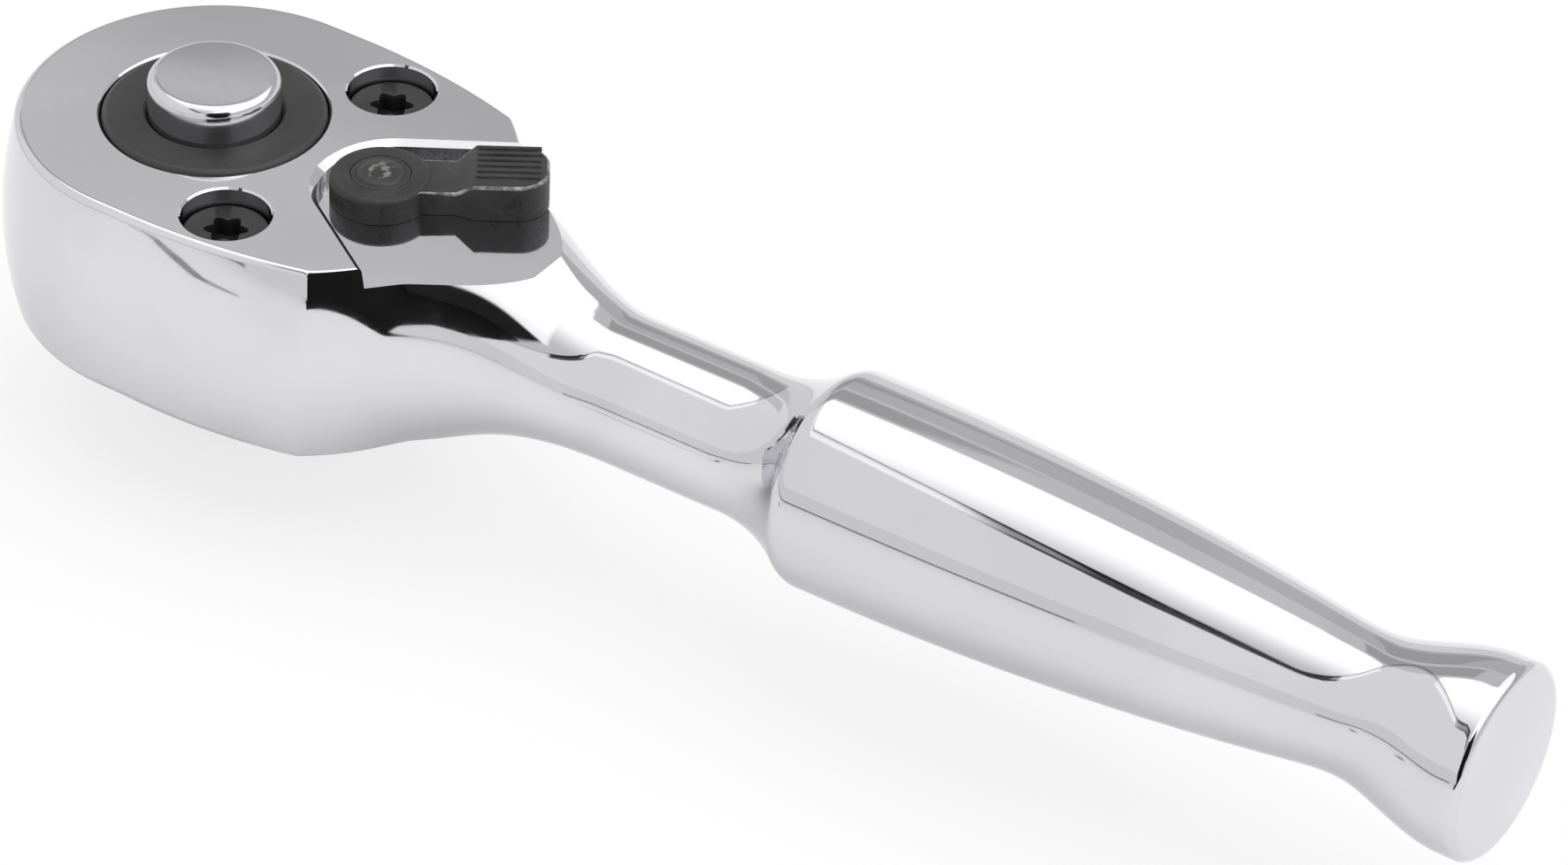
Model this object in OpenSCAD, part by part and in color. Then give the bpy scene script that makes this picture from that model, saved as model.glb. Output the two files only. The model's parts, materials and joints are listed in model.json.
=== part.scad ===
/* [Head] */
// Radius of the round front of the head at its top face
head_r = 15.4; // [14.8:0.1:18]
// Thickness of the head from the top face to the underside
head_h = 17; // [15.6:0.2:20]
// Length of straight flank behind the drive axis
flank_x = 2.5; // [1:0.5:5]
// Distance from the drive axis back to the ridge where the neck starts
ridge_x = 17.8; // [16.5:0.1:20]
// Half width of the head at the ridge
ridge_y = 12.6; // [11.8:0.1:13.5]
// Forward lean of the ridge from the top face to the underside
ridge_lean = 1.3; // [0:0.1:2]
// Swell of the front wall at mid height
head_swell = 0.5; // [0.1:0.1:1.5]
// Rounding of the upper edge at the front
edge_top_r = 1.2; // [0.4:0.1:2]
// Rounding of the lower edge at the front
edge_bottom_r = 2; // [0.4:0.1:2.2]
// Rounding of both edges at the ridge
edge_ridge_r = 0.35; // [0.2:0.05:0.6]
// Thickness of the roof over the gear chamber
roof_t = 4.4; // [4:0.1:5.5]
// Bevel round the holes in the top face
rim_bevel = 0.2; // [0.1:0.05:0.4]

/* [Neck and handle] */
// Distance from the drive axis to the slimmest part of the neck
neck_x = 38; // [34:0.5:42]
// Length behind the ridge over which its crisp edges open into the neck's round
ridge_open = 2.2; // [1.5:0.1:3]
// Radius of the neck's edges behind the ridge
neck_edge_r = 6; // [4.5:0.1:6.5]
// Angle at which the flat top cuts the neck's edges behind the ridge
neck_edge_angle = 38; // [35:1:60]
// Radius of the neck at its slimmest
neck_r = 5.5; // [5:0.1:6.5]
// Distance from the drive axis to where the neck's back starts to fall
slope_start_x = 23.5; // [22:0.5:26]
// Distance from the drive axis to where the neck's back is level again
slope_end_x = 35.5; // [32:0.5:38]
// Depth of the handle's axis below the top face
axis_drop = 9.2; // [8:0.1:10]
// Distance from the drive axis to where the handle's shoulder starts
shoulder_x = 46; // [43:0.5:48]
// Distance from the drive axis to the thickest part of the grip
grip_x = 57; // [54:0.5:60]
// Radius of the grip at its thickest
grip_r = 8.25; // [7:0.05:9]
// Distance from the drive axis to the end of the butt
butt_x = 110; // [100:0.5:130]
// Radius of the butt
butt_r = 7.35; // [6.5:0.05:8]
// Length of the butt's full radius
butt_l = 2; // [1.5:0.1:4]
// Length of the flare from the waist to the butt
flare_l = 10; // [8:0.5:12]
// Radius of the waist before the flare
waist_r = 5.2; // [4.5:0.1:6]
// Rounding of the butt's edge
butt_edge_r = 0.8; // [0.4:0.1:1.4]

/* [Lever pocket] */
// Depth of the pocket below the top face
pocket_depth = 1.4; // [1.2:0.1:1.8]
// Radius of the pocket's closed end
pocket_r = 6.4; // [5.8:0.1:7]
// Distance of the pocket's centre behind the lever's pivot
pocket_back = 1.8; // [1:0.1:2.5]
// Angle of each straight wall from the handle's line
pocket_flare = 31.5; // [28:0.5:36]

/* [Drive] */
// Width across the flats of the drive square
square_w = 9.525; // [9.4:0.005:9.6]
// Length of the drive square
square_l = 8.5; // [8:0.1:11]
// Width across the broken corners of the drive square
square_corner_w = 12.4; // [11.8:0.1:13]
// Bevel at the tip of the drive square
square_bevel = 0.8; // [0.3:0.1:1.2]
// Height of the seat that stands out under the cover plate
seat_h = 0.3; // [0.2:0.05:0.8]
// Radius of the lower journal that turns in the cover plate
journal_r = 8.6; // [8:0.1:9]
// Radius of the hole in the top face round the gear's hub
ring_r = 8.5; // [8:0.1:9]
// Height of the gear's hub above the top face
ring_proud = 0.2; // [0.1:0.05:0.4]
// Rounding of the hub's outer edge
ring_edge_r = 0.6; // [0.3:0.1:0.9]
// Number of gear teeth, a multiple of twelve
gear_teeth = 72; // [48:12:84]
// Radius over the gear's teeth
gear_tip_r = 10.4; // [10:0.1:10.8]
// Depth of the gear's teeth
tooth_depth = 0.55; // [0.4:0.05:0.7]
// Share of a tooth's pitch that is flat at the tip and at the root
tooth_flat = 0.16; // [0.1:0.02:0.24]

/* [Quick release] */
// Radius of the release button
button_r = 4.96; // [4.6:0.02:5.4]
// Height of the button above the top face
button_h = 3.3; // [3:0.1:4]
// Length of the button's cap
button_cap_l = 5.8; // [5:0.1:7]
// Rounding of the button's edge
button_edge_r = 0.85; // [0.4:0.05:1.2]
// Travel of the button
button_travel = 2.2; // [1.8:0.1:2.4]
// Radius of the button's stem
stem_r = 2.1; // [1.9:0.05:2.3]
// Radius of the detent ball
ball_r = 1.9; // [1.7:0.05:2]
// Height of the ball above the face of the square
ball_proud = 0.7; // [0.5:0.05:0.8]
// Distance of the ball from the seat
ball_drop = 4.4; // [4:0.1:5]
// Wire radius of the button's spring
button_wire_r = 0.35; // [0.25:0.05:0.45]
// Turns of the button's spring
button_turns = 4.5; // [3.5:0.5:5.5]
// Height of the spring's floor above the seat
spring_floor_z = 5; // [4:0.5:6]

/* [Cover plate and screws] */
// Thickness of the cover plate
plate_t = 2.6; // [2.2:0.1:3.2]
// Radius of the plate round the drive
plate_r = 12.2; // [11.8:0.1:12.6]
// Radius of the plate's tail round the selector
plate_tail_r = 6; // [5.4:0.1:6.6]
// Radius of the plate's lobes round the screws
plate_lobe_r = 3.3; // [2.8:0.1:3.6]
// Angle of each screw from the handle's line
screw_angle = 49; // [46:0.5:54]
// Wall between a screw hole and the gear chamber
post_wall = 1.05; // [0.8:0.05:1.2]
// Radius of a screw's shank
shank_r = 1.75; // [1.5:0.05:1.9]
// Radius of a screw's head
screw_head_r = 3.2; // [2.8:0.05:3.4]
// Height of a screw's head
screw_head_h = 2.2; // [1.6:0.1:2.6]
// Depth of a screw's head below the top face
screw_sink = 1.35; // [0.8:0.05:1.5]
// Width over the points of the six lobe recess
lobe_w = 3.28; // [2.8:0.02:3.6]
// Depth of the six lobe recess
lobe_depth = 1.4; // [0.8:0.1:1.5]

/* [Selector and pawl] */
// Angle of the lever to each side of the handle's line
lever_throw = 34; // [28:1:36]
// Angle of the pawl to each side of its middle
pawl_rock = 4; // [3.5:0.25:4.5]
// Radius of the lever's boss
boss_r = 3.75; // [3.4:0.05:4]
// Height of the boss above the top face
boss_h = 0.68; // [0.4:0.02:0.8]
// Height of the lever's underside over the pocket floor
lever_lift = 0.25; // [0.2:0.05:0.4]
// Half width of the arm
arm_w = 2.2; // [1.8:0.05:2.5]
// Height of the arm above the top face
arm_h = 0.54; // [0.3:0.02:0.66]
// Distance from the pivot to where the arm starts to rise
rise_x = 5.6; // [5:0.1:6.2]
// Distance from the pivot to the start of the thumb pad
pad_x = 7; // [6.6:0.1:7.5]
// Half width of the thumb pad
pad_w = 2.8; // [2.6:0.05:3.2]
// Distance from the pivot to the end of the thumb pad
pad_end_x = 12.3; // [11.5:0.1:13]
// Height of the thumb pad above the top face
pad_h = 1.54; // [1.2:0.02:2]
// Number of ribs on the thumb pad
rib_count = 4; // [3:1:5]
// Depth of the grooves between the ribs
rib_depth = 0.3; // [0.2:0.05:0.4]
// Radius of the spindle where it passes through the roof
spindle_r = 2.25; // [2:0.05:2.4]
// Radius of the spindle inside the pawl
cam_r = 2.7; // [2.6:0.05:2.9]
// Radius of the spindle's foot in the cover plate
foot_r = 1.8; // [1.5:0.05:2]
// Depth of the spindle's foot in the cover plate
foot_depth = 1.8; // [1.4:0.1:2]
// Depth of the dished end of the spindle
dish_depth = 0.15; // [0.1:0.05:0.25]
// Wire radius of the seal round the spindle
seal_wire_r = 0.45; // [0.35:0.05:0.5]
// Wall of the pawl's hub round the plunger's track
hub_wall = 0.9; // [0.8:0.05:1.1]
// Reach of the plunger's tip beyond the spindle
plunger_reach = 0.75; // [0.6:0.05:0.8]
// Radius of the plunger
plunger_r = 0.85; // [0.7:0.05:0.95]
// Length of the plunger
plunger_l = 2.2; // [2:0.1:2.4]
// Wire radius of the plunger's spring
plunger_wire_r = 0.13; // [0.1:0.01:0.15]
// Turns of the plunger's spring
plunger_turns = 5; // [4:0.5:6]
// Gap between the pawl's hub and the gear's tips
hub_gap = 0.4; // [0.3:0.05:0.6]
// Angle from the handle's line to the middle of each toothed pad
pawl_pad_angle = 30; // [30:5:30]
// Half the angle that each toothed pad covers
pawl_pad_half = 7; // [6:0.5:7]
// Thickness of each toothed pad behind the gear's tips
pawl_pad_t = 2; // [1.6:0.1:2.2]

/* [Fits] */
// Radial clearance of turning and sliding pieces
run_fit = 0.05; // [0.03:0.01:0.08]
// Clearance of fixed pieces in their seats
seat_fit = 0.03; // [0.02:0.01:0.05]
// Clearance between the ends of turning pieces
end_fit = 0.12; // [0.08:0.02:0.2]
// Clearance of the pawl's teeth in the gear
mesh_fit = 0.1; // [0.08:0.01:0.14]
// Clearance round the pawl in its chamber
sweep_fit = 0.8; // [0.7:0.05:0.9]
// Angle left free beside each toothed pad in the chamber
side_fit = 2.5; // [2:0.25:3]

/* [Hidden] */
$fn = 96;

// Heights over the seat of the drive square
under_z = seat_h;
top_z = under_z + head_h;
mid_z = under_z + head_h / 2;
axis_z = top_z - axis_drop;
plate_top_z = under_z + plate_t;
roof_z = top_z - roof_t;
pocket_z = top_z - pocket_depth;
hub_top_z = top_z + ring_proud;
lever_z = pocket_z + lever_lift;
boss_z = top_z + boss_h;

// Places of the flare and the waist before the butt
flare_x = butt_x - butt_l;
waist_x = flare_x - flare_l;

// Gear, pawl and selector
chamber_r = gear_tip_r + run_fit * 2;
gear_root_r = gear_tip_r - tooth_depth;
tooth_pitch = 360 / gear_teeth;
track_r = cam_r + plunger_reach + run_fit;
hub_r = track_r + hub_wall;
pivot_x = gear_tip_r + hub_gap + hub_r;
pawl_outer_r = gear_tip_r + pawl_pad_t;
pawl_sweep_r = pawl_outer_r + hub_r * 2 * sin(2 * pawl_rock) + sweep_fit;
pawl_sweep_half = pawl_pad_angle + pawl_pad_half + side_fit;
gear_floor_z = plate_top_z + end_fit;
gear_roof_z = roof_z - end_fit;
track_half = lever_throw - pawl_rock + asin(plunger_r / (cam_r + plunger_reach)) + 1;
plunger_z = (gear_floor_z + gear_roof_z) / 2;
plunger_tip_r = cam_r + plunger_reach;
plunger_back_r = plunger_tip_r - plunger_l;
well_share = 0.6;
plunger_well_r = -cam_r * well_share;
plunger_coil_r = plunger_r - 1.5 * plunger_wire_r;
toward_drive = 180;
plunger_angle = toward_drive + lever_throw;

// Screws
shank_hole_r = shank_r + run_fit;
screw_bore_r = screw_head_r + run_fit * 2;
screw_dist = chamber_r + post_wall + shank_hole_r;
screw_x = screw_dist * cos(screw_angle);
screw_y = screw_dist * sin(screw_angle);
screw_top_z = top_z - screw_sink;
screw_seat_z = screw_top_z - screw_head_h;

// Quick release
ball_x = square_w / 2 + ball_proud - ball_r;
ball_z = -ball_drop;
ramp = atan((ball_proud + run_fit) / button_travel);
ramp_r = ball_x - (ball_r + run_fit / 2) / cos(ramp);
well_r = button_r + run_fit;
cap_z = top_z + button_h - button_cap_l;
coil_r = (well_r + stem_r) / 2;

// Flank of the head and scoop of the neck, as arcs
flank_drop = head_r - ridge_y;
flank_r = (pow(ridge_x - flank_x, 2) + pow(flank_drop, 2)) / (2 * flank_drop);
flank_sweep = asin((ridge_x - flank_x) / flank_r);
scoop_l = neck_x - ridge_x;
scoop_drop = ridge_y - neck_r;
scoop_r = (pow(scoop_l, 2) + pow(scoop_drop, 2)) / (2 * scoop_drop);

// Small allowances that keep joined solids overlapping
lap = 0.5;
skin = 0.02;
through = 1;

chrome = [0.8, 0.8, 0.82];
blacked = [0.16, 0.16, 0.16];
steel = [0.6, 0.6, 0.62];
dark_rubber = [0.08, 0.08, 0.08];

function clamp01(t) = max(0, min(1, t));
function ease(t) = let(c = clamp01(t)) c * c * (3 - 2 * c);
function mix(a, b, t) = a + (b - a) * t;
function rounding(d, r) = d < r ? r - sqrt(r * r - pow(r - d, 2)) : 0;
function polar(r, a) = [r * cos(a), r * sin(a)];

// Head: outline points as x, y, outward x, outward y and share of the front's form
front_steps = 16;
flank_steps = 8;
front_half = [
  for (i = [0 : front_steps])
    let(a = 180 - 90 * i / front_steps)
      [head_r * cos(a), head_r * sin(a), cos(a), sin(a), 1]
];
flank_half = [
  for (i = [0 : flank_steps])
    let(a = 90 - flank_sweep * i / flank_steps)
      [flank_x + flank_r * cos(a), head_r - flank_r + flank_r * sin(a), cos(a), sin(a), 1 - i / flank_steps]
];
head_half = concat(front_half, flank_half);
head_count = len(head_half);
head_outline = concat(
  head_half,
  [for (i = [head_count - 1 : -1 : 1]) let(p = head_half[i]) [p[0], -p[1], p[2], -p[3], p[4]]]
);
edge_steps = 5;
wall_steps = 6;
head_levels = concat(
  [for (i = [0 : edge_steps - 1]) under_z + edge_bottom_r * (1 - cos(90 * i / edge_steps))],
  [for (i = [0 : wall_steps]) mix(under_z + edge_bottom_r, top_z - edge_top_r, i / wall_steps)],
  [for (i = [edge_steps - 1 : -1 : 0]) top_z - edge_top_r * (1 - cos(90 * i / edge_steps))]
);

function swell(z) = head_swell * (1 - pow((z - mid_z) / (head_h / 2), 2));
function lean(z) = ridge_lean * (top_z - z) / head_h;
function head_point(p, z) =
  let(
    upper = rounding(top_z - z, mix(edge_ridge_r, edge_top_r, p[4])),
    lower = rounding(z - under_z, mix(edge_ridge_r, edge_bottom_r, p[4])),
    out = p[4] * swell(z) - upper - lower,
    x = p[0] + p[2] * out
  )
  [x - lean(z) * max(0, x / ridge_x), p[1] + p[3] * out, z];

// Neck: rounded rings that turn from a box at the ridge to a circle
neck_steps = 22;
corner_sides = 12;
ring_sides = 4 * corner_sides;
function neck_half_width(x) =
  neck_r + scoop_r - sqrt(pow(scoop_r, 2) - pow(max(0, neck_x - x), 2));
function neck_fall(x) = ease((x - slope_start_x) / (slope_end_x - slope_start_x));
function neck_turn(x) = ease((x - ridge_x) / (slope_end_x - ridge_x));
function neck_open(x) = ease((x - ridge_x) / ridge_open);
function neck_top(x) = top_z - (axis_drop - neck_r) * neck_fall(x);
function neck_bottom(x) = under_z + (head_h - axis_drop - neck_r) * neck_turn(x);
function neck_edge(x) = mix(edge_ridge_r, mix(neck_edge_r, neck_r, neck_turn(x)), neck_open(x));
function neck_cut(x) = mix(90, mix(neck_edge_angle, 90, neck_turn(x)), neck_open(x));
function corner_share(i) =
  let(k = i % corner_sides + 0.5)
    floor(i / corner_sides) % 2 == 0 ? k / corner_sides : 1 - k / corner_sides;
function corner_side(i) = i < corner_sides || i >= 3 * corner_sides ? 1 : -1;
function corner_up(i) = i < 2 * corner_sides ? 1 : -1;
function neck_ring(x, place, inset) =
  let(
    r = neck_edge(x) - inset,
    cut = neck_cut(x),
    w = neck_half_width(x) - inset - r,
    h = (neck_top(x) - neck_bottom(x)) / 2 - inset - r * sin(cut),
    c = (neck_top(x) + neck_bottom(x)) / 2,
    fade = pow(clamp01((neck_x - x) / scoop_l), 2)
  )
  [
    for (i = [0 : ring_sides - 1])
      let(
        a = cut * corner_share(i),
        z = c + corner_up(i) * (h + r * sin(a))
      )
      [place - lean(z) * fade, corner_side(i) * (w + r * cos(a)), z]
  ];

// Handle: radius along the turned grip
turn_steps = 60;
waist_near = 3;
waist_far = 2.5;
shoulder_lag = 1.35;
function shoulder_radius(x) =
  mix(neck_r, grip_r, ease(pow(clamp01((x - shoulder_x) / (grip_x - shoulder_x)), shoulder_lag)));
function grip_radius(x) =
  grip_r - (grip_r - waist_r) * pow((x - grip_x) / (waist_x - grip_x), 2);
function grip_slope(x) = -2 * (grip_r - waist_r) * (x - grip_x) / pow(waist_x - grip_x, 2);
function flare_radius(x) = mix(waist_r, butt_r, ease((x - waist_x) / (flare_x - waist_x)));
function flare_slope(x) =
  let(t = (x - waist_x) / (flare_x - waist_x))
    6 * t * (1 - t) * (butt_r - waist_r) / (flare_x - waist_x);
function waist_radius(x) =
  let(
    a = waist_x - waist_near,
    b = waist_x + waist_far,
    l = b - a,
    t = (x - a) / l
  )
  (2 * pow(t, 3) - 3 * t * t + 1) * grip_radius(a)
    + (pow(t, 3) - 2 * t * t + t) * l * grip_slope(a)
    + (3 * t * t - 2 * pow(t, 3)) * flare_radius(b)
    + (pow(t, 3) - t * t) * l * flare_slope(b);
function handle_radius(x) =
  x < grip_x ? shoulder_radius(x)
  : x < waist_x - waist_near ? grip_radius(x)
  : x < waist_x + waist_far ? waist_radius(x)
  : flare_radius(x);

// A closed skin over rings with equal counts of points
module loft(rings) {
  n = len(rings[0]);
  last = len(rings) - 1;
  points = [for (r = rings) each r];
  sides = [
    for (j = [0 : last - 1], i = [0 : n - 1])
      let(
        a = j * n + i,
        b = j * n + (i + 1) % n
      )
      each [[a, b + n, b], [a, a + n, b + n]]
  ];
  start = [[for (i = [0 : n - 1]) i]];
  end = [[for (i = [n - 1 : -1 : 0]) last * n + i]];
  polyhedron(points = points, faces = concat(sides, start, end), convexity = 6);
}

// A coil spring along Z from the origin, as one tube
module coil(mean_r, wire_r, length, turns) {
  per_turn = 10;
  sides = 6;
  steps = turns * per_turn;
  rings = [
    for (j = [0 : steps])
      let(
        a = 360 * j / per_turn,
        z = wire_r + (length - 2 * wire_r) * j / steps
      )
      [
        for (i = [0 : sides - 1])
          let(
            b = -360 * i / sides,
            r = mean_r + wire_r * cos(b)
          )
          [r * cos(a), r * sin(a), z + wire_r * sin(b)]
      ]
  ];
  loft(rings);
}

module at_screws() {
  for (side = [-1, 1])
    translate([screw_x, side * screw_y, 0])
      children();
}

module at_pivot(angle = 0) {
  translate([pivot_x, 0, 0])
    rotate([0, 0, angle])
      children();
}

module head_form() {
  loft([for (z = head_levels) [for (i = [len(head_outline) - 1 : -1 : 0]) head_point(head_outline[i], z)]]);
}

module neck_form() {
  start_x = ridge_x + 3 * skin;
  stations = [for (j = [0 : neck_steps]) mix(start_x, neck_x, j / neck_steps)];
  rings = concat(
    [neck_ring(start_x, ridge_x - lap, skin)],
    [for (x = stations) neck_ring(x, x, skin)],
    [neck_ring(neck_x, neck_x + 3 * lap, lap)]
  );
  loft(rings);
}

module handle_form() {
  start_x = neck_x + skin;
  rim_x = butt_x - butt_edge_r;
  rim_steps = 6;
  profile = concat(
    [[0, start_x - 3 * lap], [neck_r - lap, start_x - 3 * lap]],
    [for (i = [0 : turn_steps]) let(x = mix(start_x, rim_x, i / turn_steps)) [handle_radius(x), x]],
    [
      for (i = [1 : rim_steps])
        let(a = 90 * i / rim_steps)
          [butt_r - butt_edge_r * (1 - cos(a)), rim_x + butt_edge_r * sin(a)]
    ],
    [[0, butt_x]]
  );
  translate([0, 0, axis_z])
    rotate([0, 90, 0])
      rotate_extrude()
        polygon(profile);
}

// Form of the plate round the drive, the screws and the selector
module plate_form(height, extra) {
  web = 0.9;
  main = plate_r * web + extra;
  tail = plate_tail_r * web + extra;
  wide = polar(pawl_sweep_r + lap + extra, pawl_sweep_half);
  cylinder(h = height, r = plate_r + extra);
  at_pivot()
    cylinder(h = height, r = plate_tail_r + extra);
  linear_extrude(height)
    polygon([[0, main], wide, [pivot_x, tail], [pivot_x, -tail], [wide[0], -wide[1]], [0, -main]]);
  at_screws()
    cylinder(h = height, r = plate_lobe_r + extra);
}

// Plan of the chamber in which the pawl rocks
module pawl_chamber_plan() {
  far_r = 2 * pawl_sweep_r;
  intersection() {
    circle(pawl_sweep_r);
    polygon([[0, 0], polar(far_r, pawl_sweep_half), [far_r, 0], polar(far_r, -pawl_sweep_half)]);
  }
  translate([pivot_x, 0])
    circle(hub_r + sweep_fit);
}

// Pocket for the reverse lever, open towards the neck
module pocket_form() {
  open_l = slope_end_x - pivot_x;
  tangent = 90 + pocket_flare;
  side = polar(pocket_r - 2 * skin, tangent);
  mouth = side + polar(open_l, pocket_flare);
  translate([pivot_x + pocket_back, 0, pocket_z]) {
    cylinder(h = head_h, r = pocket_r);
    linear_extrude(head_h)
      polygon([side, mouth, [mouth[0], -mouth[1]], [side[0], -side[1]]]);
  }
}

module body_cuts() {
  // Hole for the gear's hub and the gear chamber
  translate([0, 0, roof_z - through])
    cylinder(h = roof_t + 2 * through, r = ring_r);
  translate([0, 0, top_z - rim_bevel])
    cylinder(h = 2 * rim_bevel, r1 = ring_r, r2 = ring_r + 2 * rim_bevel);
  translate([0, 0, under_z])
    cylinder(h = roof_z - under_z, r = chamber_r);
  // Chamber of the pawl
  translate([0, 0, under_z])
    linear_extrude(roof_z - under_z)
      pawl_chamber_plan();
  // Seat of the cover plate
  translate([0, 0, under_z - through])
    plate_form(plate_t + through, seat_fit);
  // Screw holes
  at_screws() {
    cylinder(h = top_z, r = shank_hole_r);
    translate([0, 0, screw_seat_z])
      cylinder(h = head_h, r = screw_bore_r);
    translate([0, 0, top_z - rim_bevel])
      cylinder(h = 2 * rim_bevel, r1 = screw_bore_r, r2 = screw_bore_r + 2 * rim_bevel);
  }
  // Pocket of the lever and hole of its spindle
  pocket_form();
  at_pivot()
    cylinder(h = top_z, r = spindle_r + run_fit);
}

module body() {
  color(chrome)
    difference() {
      union() {
        head_form();
        neck_form();
        handle_form();
      }
      body_cuts();
    }
}

module cover_plate() {
  color(chrome)
    difference() {
      translate([0, 0, under_z])
        plate_form(plate_t, 0);
      translate([0, 0, under_z - through])
        cylinder(h = plate_t + 2 * through, r = journal_r + run_fit);
      at_screws()
        cylinder(h = plate_top_z + through, r = shank_r + seat_fit);
      at_pivot()
        translate([0, 0, plate_top_z - foot_depth - end_fit])
          cylinder(h = plate_t, r = foot_r + run_fit);
    }
}

// Six rounded lobes for a driver
module six_lobe_plan() {
  lobes = 6;
  core_r = lobe_w * 0.4;
  waist = lobe_w * 0.36;
  tip_r = lobe_w * 0.1;
  hollow_r = lobe_w * 0.13;
  difference() {
    union() {
      circle(core_r);
      for (i = [0 : lobes - 1])
        rotate(360 * i / lobes)
          translate([lobe_w / 2 - tip_r, 0])
            circle(tip_r);
    }
    for (i = [0 : lobes - 1])
      rotate(360 * (i + 0.5) / lobes)
        translate([waist + hollow_r, 0])
          circle(hollow_r);
  }
}

module cover_screw() {
  bevel = screw_head_h / 8;
  recess_turn = 32;
  difference() {
    union() {
      translate([0, 0, under_z])
        cylinder(h = screw_seat_z - under_z + screw_head_h / 2, r = shank_r);
      translate([0, 0, screw_seat_z])
        cylinder(h = screw_head_h - bevel, r = screw_head_r);
      translate([0, 0, screw_top_z - bevel])
        cylinder(h = bevel, r1 = screw_head_r, r2 = screw_head_r - bevel);
    }
    translate([0, 0, screw_top_z - lobe_depth])
      linear_extrude(lobe_depth + through)
        rotate(recess_turn)
          six_lobe_plan();
  }
}

module cover_screws() {
  color(blacked)
    at_screws()
      cover_screw();
}

// Gear teeth as one outline, swelled by extra
module tooth_plan(extra) {
  flat = tooth_pitch * tooth_flat / 2;
  polygon([
    for (i = [0 : gear_teeth - 1])
      let(a = i * tooth_pitch)
        each [
          polar(gear_root_r + extra, a - tooth_pitch / 2 + flat),
          polar(gear_tip_r + extra, a - flat),
          polar(gear_tip_r + extra, a + flat),
          polar(gear_root_r + extra, a + tooth_pitch / 2 - flat)
        ]
  ]);
}

module drive_square() {
  corner_r = square_corner_w / 2;
  intersection() {
    translate([-square_w / 2, -square_w / 2, -square_l])
      cube([square_w, square_w, square_l + lap]);
    union() {
      translate([0, 0, square_bevel - square_l])
        cylinder(h = square_l - square_bevel + lap, r = corner_r);
      translate([0, 0, -square_l])
        cylinder(h = square_bevel, r1 = corner_r - square_bevel, r2 = corner_r);
    }
  }
}

module gear_hub() {
  hub = ring_r - run_fit * 2;
  steps = 6;
  rotate_extrude()
    polygon(concat(
      [[0, gear_roof_z - lap], [hub, gear_roof_z - lap]],
      [
        for (i = [0 : steps])
          let(a = 90 * i / steps)
            [hub - ring_edge_r * (1 - cos(a)), hub_top_z - ring_edge_r * (1 - sin(a))]
      ],
      [[0, hub_top_z]]
    ));
}

module drive_gear() {
  color(blacked)
    difference() {
      union() {
        translate([0, 0, gear_floor_z])
          linear_extrude(gear_roof_z - gear_floor_z)
            tooth_plan(0);
        gear_hub();
        cylinder(h = gear_floor_z + lap, r = journal_r);
        drive_square();
      }
      // Well of the button and bore of its stem
      translate([0, 0, spring_floor_z])
        cylinder(h = top_z, r = well_r);
      translate([0, 0, hub_top_z - rim_bevel])
        cylinder(h = 2 * rim_bevel, r1 = well_r, r2 = well_r + 2 * rim_bevel);
      translate([0, 0, -square_l - through])
        cylinder(h = square_l + top_z, r = stem_r + run_fit);
      // Seat of the ball, closed in at its mouth
      translate([0, 0, ball_z])
        rotate([90, 0, 0])
          cylinder(h = ball_x, r = ball_r + run_fit);
      translate([0, -ball_x, ball_z])
        sphere(ball_r + run_fit);
    }
}

module release_button() {
  steps = 6;
  waist_stem_r = ramp_r - ball_r * tan(ramp);
  waist_z = ball_z + ball_r;
  foot_z = ball_z - ball_r * sin(ramp) - lap;
  foot_stem_r = ramp_r + (ball_z - foot_z) * tan(ramp);
  neck_z = ball_z + ball_r + button_travel + lap;
  color(chrome)
    rotate_extrude()
      polygon(concat(
        [[0, foot_z - lap], [foot_stem_r, foot_z - lap], [foot_stem_r, foot_z]],
        [[waist_stem_r, waist_z], [waist_stem_r, neck_z], [stem_r, neck_z + stem_r - waist_stem_r]],
        [[stem_r, cap_z], [button_r, cap_z]],
        [
          for (i = [0 : steps])
            let(
              a = 90 * i / steps,
              r = button_r - button_edge_r * (1 - cos(a)),
              z = top_z + button_h - button_edge_r * (1 - sin(a))
            )
            [r, z]
        ],
        [[0, top_z + button_h]]
      ));
}

module release_spring() {
  color(steel)
    translate([0, 0, spring_floor_z])
      coil(coil_r, button_wire_r, cap_z - spring_floor_z, button_turns);
}

module detent_ball() {
  color(steel)
    translate([0, -ball_x, ball_z])
      sphere(ball_r);
}

// One arm of the pawl with its teeth, as it lies in mesh
module pawl_arm_plan() {
  inner = pawl_pad_angle - pawl_pad_half;
  outer = pawl_pad_angle + pawl_pad_half;
  relief_r = gear_tip_r + hub_gap;
  root = 115;
  root_r = hub_r * 0.95;
  difference() {
    polygon([
      polar(gear_root_r, outer),
      polar(pawl_outer_r, outer),
      [pivot_x, 0] + polar(root_r, root),
      [pivot_x, 0],
      polar(relief_r, inner / 4),
      polar(gear_root_r, inner)
    ]);
    tooth_plan(mesh_fit);
    intersection() {
      circle(relief_r);
      polygon([[0, 0], [2 * relief_r, 0], polar(2 * relief_r, inner)]);
    }
  }
}

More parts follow.
